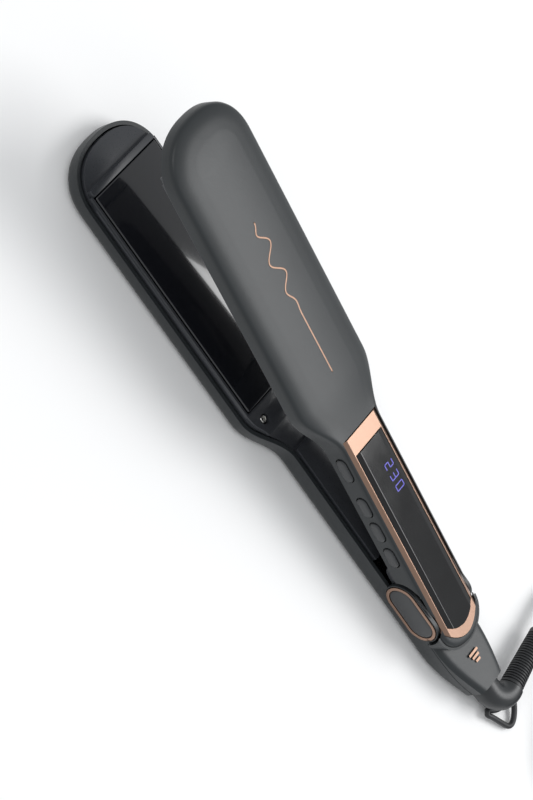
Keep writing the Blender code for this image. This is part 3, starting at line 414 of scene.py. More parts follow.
def make_finishes():
    """Every material of the iron, by the short name used below."""
    made = {}
    # Soft-touch paint over moulded ABS: a deep charcoal with a silky, slightly cloudy sheen.
    made["casing"] = moulded("soft-touch ABS, satin charcoal", "25282A", "2C3032", 0.33, 0.43, 0.35, 0.02,
                             Specular_IOR_Level=0.38)
    # Glass-filled nylon, moulded: darker and a touch glossier where a hand never rubs it.
    made["inner"] = moulded("glass-filled nylon, moulded", "303236", "383A3E", 0.26, 0.36, 0.40, 0.02)
    # Polished ABS, near black: painted shade where the arms meet at the hinge and under the upper arm's
    # rear end.
    made["black"] = moulded("ABS, black, painted shade", "050606", "08090A", 0.22, 0.30, 0.8, 0.01,
                            Specular_IOR_Level=0.2)
    # ABS with a polished tool: the same charcoal, crisper highlights.
    made["button"] = moulded("ABS, fine satin", "2C2E30", "333537", 0.32, 0.40, 0.25, 0.01)
    # Ceramic enamel on aluminium: near black, mirror-like, with faint drawn waviness under the gloss.
    made["plate"] = enamelled_plate()
    # Rose-gold anodised aluminium: fine lengthwise brushing, warm and soft in its highlights.
    made["rose"] = brushed("anodised aluminium, rose gold", "937868", "A08373", 0.28, 0.38, 0.25)
    # Tinted acrylic: a deep black window with a hard gloss.
    made["lens"] = lens_acrylic()
    # Digits lit from behind the acrylic.
    made["digit"] = lit_digits()
    # Hot-foil print: matt rose gold.
    made["print"] = brushed("hot-foil print, rose gold", "8E7464", "9C8070", 0.40, 0.52, 0.3)
    # Nickel-plated steel, polished.
    made["nickel"] = brushed("nickel-plated steel", "B9B8B4", "D2D1CD", 0.16, 0.26, 0.3)
    # Zinc-plated steel: duller, slightly blue.
    made["zinc"] = brushed("zinc-plated steel", "9EA2A6", "B6BABD", 0.28, 0.42, 0.4)
    # Thermoplastic rubber: dull black-grey that scatters light at its edges.
    made["rubber"] = moulded("thermoplastic rubber, moulded", "1E1F21", "26272A", 0.42, 0.55, 0.5, 0.03)
    # Nylon swivel, moulded: satin, a little glossier than the rubber.
    made["swivel"] = moulded("nylon, moulded satin", "242628", "2B2D2F", 0.32, 0.42, 0.4, 0.02)
    # Extruded PVC jacket: smooth black with a waxy sheen.
    made["cord"] = moulded("PVC, extruded jacket", "17181A", "202123", 0.32, 0.44, 0.6, 0.03)
    # Overmoulded PVC plug: matt spark-eroded texture.
    made["plug"] = moulded("PVC, overmoulded plug", "18191B", "212224", 0.45, 0.58, 0.45, 0.05)
    # Silicone rubber pads, dusty brick red.
    made["silicone"] = moulded("silicone rubber, brick red", "8E3A2C", "A2493A", 0.55, 0.70, 0.6, 0.03)
    # Silicone sleeving on the heater leads: soft and nearly matt.
    made["lead red"] = moulded("silicone sleeving, red", "8C2218", "A02C20", 0.45, 0.58, 0.5, 0.02)
    made["lead blue"] = moulded("silicone sleeving, blue", "22407A", "2D4D8C", 0.45, 0.58, 0.5, 0.02)
    # Sintered alumina: chalky off-white.
    made["ceramic"] = moulded("alumina ceramic, sintered", "D9D3C4", "E6E1D5", 0.55, 0.72, 0.3, 0.02)
    # Glass-epoxy board under green solder mask.
    made["board"] = circuit_board()
    # Phenolic switch bodies: dark and plain.
    made["switch"] = moulded("phenolic, tact switch", "151617", "1E1F20", 0.40, 0.52, 0.4, 0.02)
    # Acetal, uncoloured: light grey and slightly waxy.
    made["bush"] = moulded("acetal, natural grey", "8E8F90", "9C9D9E", 0.35, 0.45, 0.5, 0.02)
    return made


def enamelled_plate():
    """Near-black enamel with sparse lighter flecks and a polish drawn along the plate."""
    made, tree, shader = new_material("ceramic enamel on aluminium", "17181B", 0.10, Coat_Weight=0.6,
                                      Coat_Roughness=0.04)
    where = add(tree, "ShaderNodeTexCoord").outputs["Object"]
    flecks = add(tree, "ShaderNodeTexVoronoi", {"Vector": where, "Scale": 1 / (0.5 * MM)})
    spark = add(tree, "ShaderNodeMapRange", {"Value": flecks.outputs["Distance"], "From Min": 0.0,
                                             "From Max": 0.25, "To Min": 1.0, "To Max": 0.0})
    blend_colours(tree, shader, spark.outputs["Result"], "15161A", "24262B")
    lines = add(tree, "ShaderNodeMapping", {"Vector": where, "Scale": (0.05, 1.0, 1.0)})
    polish = add(tree, "ShaderNodeTexNoise", {"Vector": lines.outputs["Vector"], "Scale": 1 / (3 * MM)})
    vary_gloss(tree, shader, polish.outputs["Fac"], 0.09, 0.17)
    return made


def lens_acrylic():
    """Black acrylic whose gloss wanders as if wiped."""
    made, tree, shader = new_material("acrylic, black tinted", "050506", 0.05, IOR=1.49)
    where = add(tree, "ShaderNodeTexCoord").outputs["Object"]
    smears = add(tree, "ShaderNodeTexNoise", {"Vector": where, "Scale": 1 / (12 * MM), "Detail": 4.0})
    vary_gloss(tree, shader, smears.outputs["Fac"], 0.04, 0.11)
    tint(tree, shader, where, 1 / (20 * MM), "050506", "08080A")
    return made


def lit_digits():
    """Blue-violet acrylic that glows faintly."""
    made, tree, shader = new_material("acrylic, lit from behind", "3A3590", 0.3)
    where = add(tree, "ShaderNodeTexCoord").outputs["Object"]
    tint(tree, shader, where, 1 / (1.5 * MM), "36318C", "443E9E")
    shader.inputs["Emission Color"].default_value = hexcolour("5A54D0")
    shader.inputs["Emission Strength"].default_value = 0.4
    return made


def circuit_board():
    """Green board with paler tracks."""
    made, tree, shader = new_material("glass-epoxy board, green mask", "14502C", 0.35)
    where = add(tree, "ShaderNodeTexCoord").outputs["Object"]
    tracks = add(tree, "ShaderNodeTexBrick", {"Vector": where, "Scale": 1 / (4 * MM), "Mortar Size": 0.08,
                                              "Color1": hexcolour("14502C"), "Color2": hexcolour("17592F"),
                                              "Mortar": hexcolour("2C8048")})
    tree.links.new(tracks.outputs["Color"], shader.inputs["Base Color"])
    raise_grain(tree, shader, tracks.outputs["Fac"], 0.4, 0.03 * MM)
    return made


finishes = make_finishes()


# ---- casings

def half_width(x):
    """Half the arm's width in plan behind the rounded tip."""
    head = mix(HANDLE_HALF, HEAD_HALF, ease(x, *SHOULDER))
    t = min(max((x - TAIL_X) / TAIL_LENGTH, 0.0), 1.0)
    return head - (HANDLE_HALF - TAIL_HALF) * (1 - math.sin(math.pi / 2 * t))


def arm_stations(rear, front=TIP_CENTRE, step=1.6 * MM):
    """Cross-sections as (x, half width, spine x) between two places."""
    count = max(round((front - rear) / step), 1)
    xs = [mix(rear, front, k / count) for k in range(count + 1)]
    return [(x, half_width(x), x) for x in xs]


def tip_stations(steps=28):
    """Cross-sections of the rounded tip, all drawn in towards one place on the spine."""
    made = []
    for step in range(1, steps + 1):
        angle = math.pi / 2 * step / steps
        x = TIP_CENTRE + TIP_DEPTH * math.sin(angle) ** (2 / TIP_POWER)
        y = HEAD_HALF * max(math.cos(angle), 0.0) ** (2 / TIP_POWER)
        made.append((x, 0.0 if step == steps else y, TIP_CENTRE))
    return made


def rear_stations(steps=14):
    """Cross-sections of the upper arm's round rear end."""
    made = []
    for step in range(steps, 0, -1):
        angle = math.pi / 2 * step / steps
        x = UPPER_REAR + REAR_DEPTH - REAR_DEPTH * math.sin(angle)
        y = HANDLE_HALF * max(math.cos(angle), 0.0)
        made.append((x, 0.0 if step == steps else y, UPPER_REAR + REAR_DEPTH))
    return made


def round_pivot(length, height, turn=0.0, steps=32):
    """A stadium outline about the hinge's axis."""
    return stadium(length, height, PIVOT.x, PIVOT.z, turn, steps)


def section(rim, shape, centre, pieces=4):
    """A smooth half profile from the rim over the edge to the centre line, as (inset, z)."""
    curve = smooth_line([(inset * MM, 0.0, z) for inset, z in shape], pieces)
    return [(0.0, rim)] + [(point.x, point.z) for point in curve] + [(None, centre)]


def loft(name, stations, profile_at, wall=WALL):
    """A casing's skin: a grid whose rows are the stations and whose columns run from rim to rim."""
    profiles = [profile_at(station[0]) for station in stations]
    half = len(profiles[0]) - 1
    bm = bmesh.new()
    grid = bmesh.ops.create_grid(bm, x_segments=len(stations) - 1, y_segments=2 * half, size=0.5)
    for vert in grid["verts"]:
        row = round((vert.co.x + 0.5) * (len(stations) - 1))
        column = round((vert.co.y + 0.5) * 2 * half) - half
        x, y, spine = stations[row]
        inset, z = profiles[row][half - abs(column)]
        run = math.hypot(spine - x, y)
        t = 1.0 if inset is None else min(inset / max(run, 1e-9), 1.0)
        side = (column > 0) - (column < 0)
        vert.co = (x + (spine - x) * t, side * y * (1 - t), z)
    bmesh.ops.remove_doubles(bm, verts=bm.verts, dist=1e-6)
    bmesh.ops.dissolve_degenerate(bm, dist=1e-6, edges=bm.edges)
    bmesh.ops.recalc_face_normals(bm, faces=bm.faces)
    middle = max(bm.faces, key=lambda face: abs(face.normal.z) * face.calc_area())
    rise = profiles[0][-1][1] - profiles[0][0][1]
    if middle.normal.z * rise < 0:
        bmesh.ops.reverse_faces(bm, faces=bm.faces)
    mesh = bpy.data.meshes.new(name)
    closed(bm, mesh)
    made = new_piece(name, mesh)
    solid = made.modifiers.new("wall", "SOLIDIFY")
    solid.thickness = wall
    solid.offset = -1.0
    solid.use_even_offset = True
    return settle(made)


def past_tail(x):
    """0 at the tail's end and 1 where the grip begins."""
    return ease(x, TAIL_X, TAIL_X + TAIL_LENGTH)


def rim_height(x):
    """Where the lower casing's wall ends."""
    return mix(TAIL_RIM, mix(GRIP_RIM, HEAD_RIM, ease(x, *SHOULDER)), past_tail(x))


def lower_profile(x):
    """A straight wall on a rounded, flat base that lifts towards the tail."""
    base = mix(TAIL_LIFT, 0.0, past_tail(x))
    shape = ((0.0, 4.2), (0.7, 2.2), (2.2, 0.9), (4.4, 0.2), (6.6, 0.0))
    return section(rim_height(x), [(inset, base + z * MM) for inset, z in shape], base)


def upper_profile(x):
    """A low wall and crowned top on the head, and a boxy grip behind it."""
    head = ease(x, *SHOULDER)
    behind = 1 - ease(x, PIVOT.x - REAR_BLEND, PIVOT.x + REAR_BLEND)
    rim = mix(mix(GRIP_LOW, REAR_LOW, behind), CLOSED_TOP - HEAD_RIM, head)
    crown = ((0.0, -4.8), (0.6, -3.4), (2.0, -2.5), (6.0, -1.3), (12.0, -0.4))
    grip = ((0.0, -2.2), (0.65, -0.65), (2.2, 0.0), (4.5, 0.0), (8.0, 0.0))
    shape = [(mix(g_in, c_in, head), mix(UPPER_TOP + g_z * MM, CLOSED_TOP + c_z * MM, head))
             for (c_in, c_z), (g_in, g_z) in zip(crown, grip)]
    return section(rim, shape, mix(UPPER_TOP, CLOSED_TOP, head))


def frame_outline(grow, front_band=0.0, side_band=0.0, rear_band=0.0, steps=24):
    """Plan outline of the display frame: straight sides, square front and a bowed rear end."""
    front = FRAME_FRONT - front_band + grow
    side = FRAME_HALF - side_band + grow
    rear = FRAME_REAR + rear_band - grow
    bow = FRAME_ARC * (side / FRAME_HALF) ** 2
    points = [(front, side), (front, -side)]
    for step in range(steps + 1):
        y = -side + 2 * side * step / steps
        points.append((rear + bow * (y / side) ** 2, y))
    return points


def make_lower_casing():
    """The lower shell, with a raised cheek on each side that is recessed for its ring."""
    shell = loft("lower_casing", arm_stations(TAIL_X) + tip_stations(), lower_profile)
    outline = round_pivot(CHEEK_LENGTH, CHEEK_HEIGHT, steps=24)
    recess = round_pivot(CAP_LENGTH + 2 * GAP, CAP_HEIGHT + 2 * GAP, steps=24)
    floor = CHEEK_FACE - CHEEK_THICKNESS / 2
    for side in (1, -1):
        cheek = prism("cheek", outline, side * (CHEEK_FACE - CHEEK_THICKNESS), side * CHEEK_FACE, "Y")
        shell = cut(shell, cheek, "UNION")
        shell = cut(shell, prism("recess", recess, side * floor, side * (CHEEK_FACE + MM), "Y"))
    shell.name = "lower_casing"
    dress(soften(shell, 0.3 * MM), "lower_arm", "casing", ["lower_shell"])


def make_upper_casing():
    """The upper shell, cut free of the cheeks through its whole turn, with its openings."""
    stations = rear_stations() + arm_stations(UPPER_REAR + REAR_DEPTH) + tip_stations()
    shell = loft("upper_casing", stations, upper_profile, UPPER_WALL)
    length, height = CHEEK_LENGTH + 2 * SWEEP_ROOM, CHEEK_HEIGHT + 2 * SWEEP_ROOM
    for side in (1, -1):
        low, high = side * (CHEEK_FACE - CHEEK_THICKNESS - 0.5 * MM), side * (CHEEK_FACE + MM)
        for k in range(5):
            sweep = round_pivot(length, height, -OPEN_ANGLE * k / 4, 24)
            shell = cut(shell, prism("sweep", sweep, low, high, "Y"))
    shell = cut(shell, prism("opening", frame_outline(GAP), UPPER_TOP - 4 * MM, UPPER_TOP + 4 * MM))
    for x, wide in BUTTONS.values():
        hole = stadium(wide + MM, BUTTON_HEIGHT + MM, x, BUTTON_Z)
        shell = cut(shell, prism("hole", hole, HANDLE_HALF - 3 * MM, HANDLE_HALF + 2 * MM, "Y"))
    shell.name = "upper_casing"
    swing_open(shell)
    dress(soften(shell, 0.3 * MM), "upper_arm", "casing", ["upper_shell"])


def make_tail_top():
    """The cover over the tail, behind the cheeks."""
    front = PIVOT.x - CHEEK_LENGTH / 2 - GAP

    def profile(x):
        top = mix(TAIL_TOP_END, TAIL_TOP, past_tail(x))
        shape = ((0.0, -1.9), (0.9, -0.9), (2.6, -0.2), (5.0, 0.0))
        return section(rim_height(x) + GAP, [(inset, top + z * MM) for inset, z in shape], top + 0.2 * MM)

    cover = loft("tail_top", arm_stations(TAIL_X, front), profile)
    dress(soften(cover, 0.25 * MM), "lower_arm", "casing", ["tail_cover"])


make_lower_casing()
make_upper_casing()
make_tail_top()


# ---- plates, covers and hinge

def rounded_copy(node, name, body, finish, width, angle=35.0):
    """A CAD node's shape with its edges rounded."""
    return dress(soften(copy_of(node, name), width, angle), body, finish, [node])


def make_covers_and_plates():
    """What each head holds: inner cover, plate, pads, clamp, heater and sensor."""
    for arm in ("lower", "upper"):
        rounded_copy(f"{arm}_cover", f"{arm}_inner_cover", f"{arm}_arm", "inner", 0.15 * MM)
        rounded_copy(f"{arm}_plate", f"{arm}_heated_plate", f"{arm}_plate", "plate", 0.2 * MM)
        for pad in ("front", "rear"):
            rounded_copy(f"{arm}_pad_{pad}", f"{arm}_silicone_{pad}", f"{arm}_arm", "silicone", 0.3 * MM)
        rounded_copy(f"{arm}_heater_clamp", f"{arm}_clamp", f"{arm}_plate", "zinc", 0.1 * MM)
        rounded_copy(f"{arm}_heater", f"{arm}_ceramic_bar", f"{arm}_plate", "ceramic", 0.15 * MM)
    rounded_copy("lower_thermal_fuse", "thermal_fuse_body", "lower_plate", "ceramic", 0.1 * MM)
    rounded_copy("upper_thermistor", "thermistor_bead", "upper_plate", "ceramic", 0.1 * MM)


def make_cheek_trim():
    """On each side a rose-gold ring let into the cheek, round a satin cap."""
    floor = CHEEK_FACE - CHEEK_THICKNESS / 2 + GAP
    for name, side in (("left", 1), ("right", -1)):
        ring = prism(f"cheek_ring_{name}", round_pivot(CAP_LENGTH, CAP_HEIGHT), side * floor,
                     side * (CHEEK_FACE + 0.4 * MM), "Y")
        hole = round_pivot(CAP_LENGTH - 2 * RING_WIDTH, CAP_HEIGHT - 2 * RING_WIDTH)
        ring = cut(ring, prism("hole", hole, side * (floor - MM), side * (CHEEK_FACE + 2 * MM), "Y"))
        ring.name = f"cheek_ring_{name}"
        dress(soften(ring, 0.25 * MM), "lower_arm", "rose", [f"hinge_ring_{name}"])
        less = 2 * (RING_WIDTH + GAP)
        cap = prism(f"cheek_cap_{name}", round_pivot(CAP_LENGTH - less, CAP_HEIGHT - less), side * floor,
                    side * (CHEEK_FACE + 0.1 * MM), "Y")
        pillow(cap, side, ((0.3, 0.15), (1.2, 0.12), (2.5, 0.06)))
        dress(soften(cap, 0.1 * MM), "lower_arm", "button", [f"hinge_cap_{name}"])


def make_hinge_metal():
    """The hinge's rod and the torsion spring round it."""
    reach = CHEEK_FACE - CHEEK_THICKNESS / 2 - GAP
    profile = [(0.0, -reach), (PIN_RADIUS - PIN_CHAMFER, -reach), (PIN_RADIUS, -reach + PIN_CHAMFER),
               (PIN_RADIUS, reach - PIN_CHAMFER), (PIN_RADIUS - PIN_CHAMFER, reach), (0.0, reach)]
    pin = turned("hinge_rod", profile, PIVOT, (0, 1, 0), 48)
    dress(soften(pin, 0.05 * MM), "lower_arm", "nickel", ["hinge_pin"])
    span = SPRING_TURNS * (SPRING_WIRE + GAP)
    points = [PIVOT + Vector((SPRING_FRONT, -span / 2, -SPRING_RADIUS - 0.6 * MM))]
    steps = 32
    for step in range(SPRING_TURNS * steps + 1):
        angle = -math.pi / 2 - 2 * math.pi * step / steps
        y = -span / 2 + span * step / (SPRING_TURNS * steps)
        points.append(PIVOT + Vector((SPRING_RADIUS * math.cos(angle), y, SPRING_RADIUS * math.sin(angle))))
    points.append(PIVOT + Vector((-SPRING_REAR, span / 2, -SPRING_RADIUS - 0.2 * MM)))
    spring = settle(wire("torsion_spring", points, SPRING_WIRE / 2))
    spring.data.shade_smooth()
    dress(spring, "lower_arm", "zinc", ["hinge_spring"])


def make_screws():
    """Cross-recessed screws in the necks of both covers."""
    profile = [(0.0, 3.2 * MM), (1.2 * MM, 3.8 * MM), (1.2 * MM, SCREW_SEAT), (1.9 * MM, SCREW_SEAT),
               (1.9 * MM, SCREW_SEAT + 0.5 * MM), (1.7 * MM, SCREW_SEAT + 0.9 * MM),
               (1.2 * MM, SCREW_SEAT + 1.2 * MM), (0.0, SCREW_SEAT + 1.35 * MM)]
    for arm, base, up in (("lower", 0.0, 1), ("upper", CLOSED_TOP, -1)):
        low, high = sorted((base + up * (SCREW_SEAT + 0.7 * MM), base + up * (SCREW_SEAT + 2 * MM)))
        for side, y in (("left", SCREW_Y), ("right", -SCREW_Y)):
            name = f"{arm}_neck_screw_{side}"
            screw = turned(name, profile, (SCREW_X, y, base), (0, 0, up), 48)
            for long, wide in ((SLOT_LENGTH, SLOT_WIDTH), (SLOT_WIDTH, SLOT_LENGTH)):
                screw = cut(screw, block("slot", (SCREW_X - long / 2, y - wide / 2, low),
                                         (SCREW_X + long / 2, y + wide / 2, high)))
            screw.name = name
            if arm == "upper":
                swing_open(screw)
            dress(soften(screw, 0.06 * MM), f"{arm}_arm", "nickel",
                  [f"{arm}_screw_neck_{side}"])


def make_hinge_floor():
    """Black plates as painted shade: one hides the leads under the hinge, the other closes the upper arm's
    rear underside.
    """
    rear = PIVOT.x - CHEEK_LENGTH / 2
    inset = WALL + 0.4 * MM
    xs = [mix(rear, FLOOR_FRONT, k / 12) for k in range(13)]
    side = [(x, half_width(x) - inset) for x in xs]
    # painted shade: the plate is near black to stand for the shade under the hinge, and it also hides the
    # leads
    floor = prism("hinge_floor", side + [(x, -y) for x, y in reversed(side)], FLOOR_LOW, FLOOR_HIGH)
    dress(soften(floor, 0.2 * MM), "lower_arm", "black")
    edge = [(x + 0.6 * MM, y - MM) for x, y, _ in rear_stations() if y > MM]
    edge = [(UPPER_REAR + MM, 0.0), *[point for point in edge if point[0] <= UNDER_FRONT],
            (UNDER_FRONT, UNDER_HALF)]
    # painted shade: a black sheet under the upper arm's rear end, where there is only shade
    under = prism("rear_underside_painted_shade", edge + [(x, -y) for x, y in reversed(edge) if y > 0],
                  UNDER_LOW, UNDER_HIGH)
    swing_open(under)
    dress(soften(under, 0.8 * MM), "upper_arm", "black")


def make_ornament():
    """A printed line on the head that waves and then runs straight, and three short bars on the tail."""
    count = 120
    path = []
    for k in range(count + 1):
        along = k / count
        wave = math.sin(10 * math.pi * along) * (1 - ease(along, 0.35, 0.62)) * ease(along, 0.0, 0.1)
        path.append(Vector((mix(WAVE_FRONT, WAVE_REAR, along), WAVE_HEIGHT * wave, CLOSED_TOP + 0.02 * MM)))
    line = settle(wire("printed_wave", path, 0.4 * MM, resolution=3))
    for vert in line.data.vertices:
        vert.co.z = mix(CLOSED_TOP, vert.co.z, PRINT_FLATNESS)
    swing_open(line)
    line.data.shade_smooth()
    dress(line, "upper_arm", "print")
    for k in range(3):
        x = MARK_X + k * 2.0 * MM
        half = 1.5 * MM + k * 0.8 * MM
        bar = block(f"tail_mark_{k}", (x, -half, MARK_LOW), (x + 1.1 * MM, half, MARK_HIGH))
        dress(bar, "lower_arm", "print")


# ---- display and buttons

def make_display():
    """Rose-gold frame whose side bands slope down and out, round a raised lens with dark flanks."""
    rim = prism("rose_frame", frame_outline(0.0), FRAME_TOP - FRAME_DEPTH, FRAME_TOP)
    for side in (1, -1):
        ridge, beyond = side * (SIDE_INNER + 0.35 * MM), side * (FRAME_HALF + MM)
        slope = [(ridge, FRAME_TOP), (side * FRAME_HALF, FRAME_TOP - BAND_DROP),
                 (beyond, FRAME_TOP - BAND_DROP), (beyond, FRAME_TOP + MM), (ridge, FRAME_TOP + MM)]
        rim = cut(rim, prism("slope", slope, FRAME_REAR - 2 * MM, FRAME_FRONT + 2 * MM, "X"))
    bands = (FRONT_BAND, FRAME_HALF - SIDE_INNER, REAR_BAND)
    rim = cut(rim, prism("hole", frame_outline(0.0, *bands), FRAME_TOP - 5 * MM, FRAME_TOP + MM))
    rim.name = "rose_frame"
    base = frame_outline(-GAP / 2, *bands)
    crown = frame_outline(-GAP / 2, bands[0], bands[1] + LENS_FLANK, bands[2])
    window = prism("window", base, FRAME_TOP - FRAME_DEPTH, FRAME_TOP - 0.2 * MM)
    bm = opened(window.data)
    top = max(bm.faces, key=lambda f: f.calc_center_median().z)
    grown = bmesh.ops.extrude_face_region(bm, geom=[top])
    for vert in (item for item in grown["geom"] if isinstance(item, bmesh.types.BMVert)):
        near = min(range(len(base)),
                   key=lambda k: math.hypot(vert.co.x - base[k][0], vert.co.y - base[k][1]))
        vert.co = (*crown[near], FRAME_TOP + LENS_RISE)
    bmesh.ops.recalc_face_normals(bm, faces=bm.faces)
    closed(bm, window.data)
    swing_open(rim, window)
    dress(soften(rim, 0.25 * MM, 15), "upper_arm", "rose", ["display_frame"])
    dress(soften(window, 0.3 * MM, 12), "upper_arm", "lens", ["display_lens"])


DIGIT_TALL = 4.8 * MM
DIGIT_WIDE = 2.7 * MM
DIGIT_Y = -3.5 * MM
BAR = 0.5 * MM
BAR_GAP = 0.12 * MM
DIGITS = (("2", -29.0 * MM), ("3", -34.5 * MM), ("0", -40.0 * MM))
# Ends of a digit's bars, as shares of its width and height: top, upper left and right, middle,
# lower left and right, bottom
BARS = (((0, 1), (1, 1)), ((0, 1), (0, 0.5)), ((1, 1), (1, 0.5)), ((0, 0.5), (1, 0.5)),
        ((0, 0.5), (0, 0)), ((1, 0.5), (1, 0)), ((0, 0), (1, 0)))
# Which of those bars each digit lights
LIT = {"2": (1, 0, 1, 1, 1, 0, 1), "3": (1, 0, 1, 1, 0, 1, 1), "0": (1, 1, 1, 0, 1, 1, 1)}


def make_digits():
    """Seven-bar digits that read from the tip side towards the tail, just proud of the lens."""
    z = FRAME_TOP + LENS_RISE
    bm = bmesh.new()
    for digit, x in DIGITS:
        for lit, ends in zip(LIT[digit], BARS):
            if not lit:
                continue
            # across runs towards the tail, and the digit's top towards -Y
            a, b = (Vector((x - (across - 0.5) * DIGIT_WIDE, DIGIT_Y - (up - 0.5) * DIGIT_TALL, z))
                    for across, up in ends)
            size = Vector((abs(a.x - b.x) - BAR_GAP, abs(a.y - b.y) - BAR_GAP, 0.1 * MM))
            made = bmesh.ops.create_cube(bm, size=1.0)
            bmesh.ops.scale(bm, vec=(max(size.x, BAR), max(size.y, BAR), size.z), verts=made["verts"])
            bmesh.ops.translate(bm, vec=(a + b) / 2, verts=made["verts"])
    digits = from_bmesh("lit_digits", bm)
    swing_open(digits)
    dress(digits, "upper_arm", "digit")


def make_buttons():
    """Four keys on the grip's side, each with a crowned face."""
    back = HANDLE_HALF + BUTTON_PROUD - BUTTON_DEPTH
    for name, (x, length) in BUTTONS.items():
        button = prism(name.replace("_", "_key_"), stadium(length, BUTTON_HEIGHT, x, BUTTON_Z), back,
                       HANDLE_HALF + BUTTON_PROUD / 2, "Y")
        pillow(button, 1, ((0.25, 0.25), (0.5, 0.15), (0.8, 0.05)))
        swing_open(button)
        dress(soften(button, 0.1 * MM), name, "button", [name])


def dress_inner_nodes():
    """Boards, switches and leads keep their CAD shape and get their real material."""
    for finish, nodes in (("board", ("control_board", "button_board")),
                          ("bush", ("display_module", "swivel_bush")),
                          ("switch", ("power_switch", "plus_switch", "minus_switch", "mode_switch")),
                          ("lead red", ("heater_lead_left",)), ("lead blue", ("heater_lead_right",))):
        for node in nodes:
            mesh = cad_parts[node].data
            mesh.materials.clear()
            mesh.materials.append(finishes[finish])


# ---- swivel, sleeve and loop

SWIVEL_Z = 8.5 * MM
BEND = 8.6 * MM
TURN = math.radians(105.0)
ELBOW_RADIUS = 6.3 * MM
SLEEVE_LENGTH = 31.0 * MM
SLEEVE_RADIUS = 5.3 * MM
SLEEVE_END = 4.3 * MM
SLEEVE_RIBS = 20
SLEEVE_MOUTH = 1.2 * MM
LOOP_WIRE = 1.3 * MM
LOOP_Z = 3.0 * MM
LOOP_LEGS = ((-15.6, -4.3, 0.0), (-19.1, -2.4, -0.4), (-22.3, 0.6, -0.9), (-23.7, 3.6, -1.2),
             (-22.5, 6.2, -1.0), (-18.4, 8.4, -0.5), (-13.4, 10.8, 0.0), (-10.5, 12.2, 0.0))  # mm


def elbow_path(steps):
    """The elbow's centre line: straight out of the tail and round by its turn."""
    start = Vector((TAIL_X - GAP, 0.0, SWIVEL_Z))
    centre = start + Vector((-4.0 * MM, -BEND, 0))
    arc = [centre + Vector((-BEND * math.sin(TURN * k / steps), BEND * math.cos(TURN * k / steps), 0))
           for k in range(steps + 1)]
    return [start, start - Vector((2.0 * MM, 0, 0))] + arc


def sleeve_start():
    """The sleeve's foot and direction, set by the CAD elbow's last straight piece."""
    path = elbow_path(9)
    heading = (path[-1] - path[-2]).normalized()
    return path[-1] + heading * GAP, heading


def make_swivel():
    """The turning elbow, with the neck that sits in the tail."""
    path = elbow_path(40)
    last = len(path) - 1
    radii = [mix(ELBOW_RADIUS, SLEEVE_RADIUS + 0.5 * MM, k / last) for k in range(last + 1)]
    elbow = settle(wire("swivel_bend", path, ELBOW_RADIUS, radii, resolution=14))
    neck = turned("neck", [(0.0, -7.0 * MM), (3.4 * MM, -7.0 * MM), (3.4 * MM, 3.0 * MM), (0.0, 3.0 * MM)],
                  (TAIL_X, 0, SWIVEL_Z), (-1, 0, 0), 40)
    elbow = cut(elbow, neck, "UNION")
    elbow.name = "swivel_bend"
    dress(soften(elbow, 0.5 * MM, 50), "swivel", "swivel", ["swivel_elbow"])


def make_sleeve():
    """Ribbed strain relief: rounded ribs that shrink towards the cord, and a rounded mouth."""
    start, heading = sleeve_start()
    pitch = (SLEEVE_LENGTH - 4 * MM) / SLEEVE_RIBS
    profile = [(0.0, 0.0), (SLEEVE_RADIUS, 0.0), (SLEEVE_RADIUS, 1.2 * MM)]
    for rib in range(SLEEVE_RIBS):
        radius = mix(SLEEVE_RADIUS, SLEEVE_END, rib / SLEEVE_RIBS)
        low = 1.4 * MM + rib * pitch
        profile += [(radius - 0.6 * MM, low), (radius - 0.6 * MM, low + 0.30 * pitch),
                    (radius - 0.08 * MM, low + 0.42 * pitch), (radius, low + 0.55 * pitch),
                    (radius, low + 0.78 * pitch), (radius - 0.08 * MM, low + 0.90 * pitch)]
    for k in range(7):
        angle = math.pi / 2 * k / 6
        profile.append((SLEEVE_END - SLEEVE_MOUTH * (1 - math.cos(angle)),
                        SLEEVE_LENGTH - SLEEVE_MOUTH * (1 - math.sin(angle))))
    profile.append((0.0, SLEEVE_LENGTH))
    sleeve = turned("ribbed_sleeve", profile, start, heading, 64)
    sleeve.data.shade_smooth()
    dress(soften(sleeve, 0.08 * MM, 40), "swivel", "rubber", ["strain_relief"])


def make_loop():
    """Moulded loop that runs round under the elbow's outer side and droops to the table."""
    centre = Vector((TAIL_X - GAP - 4.0 * MM, -BEND, LOOP_Z))
    reach = BEND + math.sqrt((ELBOW_RADIUS + LOOP_WIRE + GAP) ** 2 - (SWIVEL_Z - LOOP_Z) ** 2)
    points = []
    for degrees in (40, 55, 70, 85, 100):
        angle = math.radians(degrees)
        points.append(centre + Vector((-math.sin(angle), math.cos(angle), 0)) * reach)
    points += [centre + Vector(place) * MM for place in LOOP_LEGS]
    count = len(points)
    steps = 8
    ring = smooth_line([points[k % count] for k in range(-2, count + 3)], steps)[2 * steps:-3 * steps]
    loop = settle(wire("hang_loop", ring, LOOP_WIRE, cyclic=True, resolution=8))
    loop.data.shade_smooth()
    dress(loop, "swivel", "rubber", ["hanging_loop"])


# ---- cord, tie and plug

CORD = 5.5 * MM
COIL = Vector((-228.0 * MM, -43.0 * MM, 0.0))
COIL_INNER = 21.6 * MM
COIL_OUTER = 38.4 * MM
COIL_HEIGHT = 17.0 * MM
COIL_RINGS = (35.6 * MM, 30.0 * MM, 24.4 * MM)
COIL_TURNS = 8.61
CORD_LIFT = CORD / 2 + 0.1 * MM  # centre line of a turn that lies on the floor
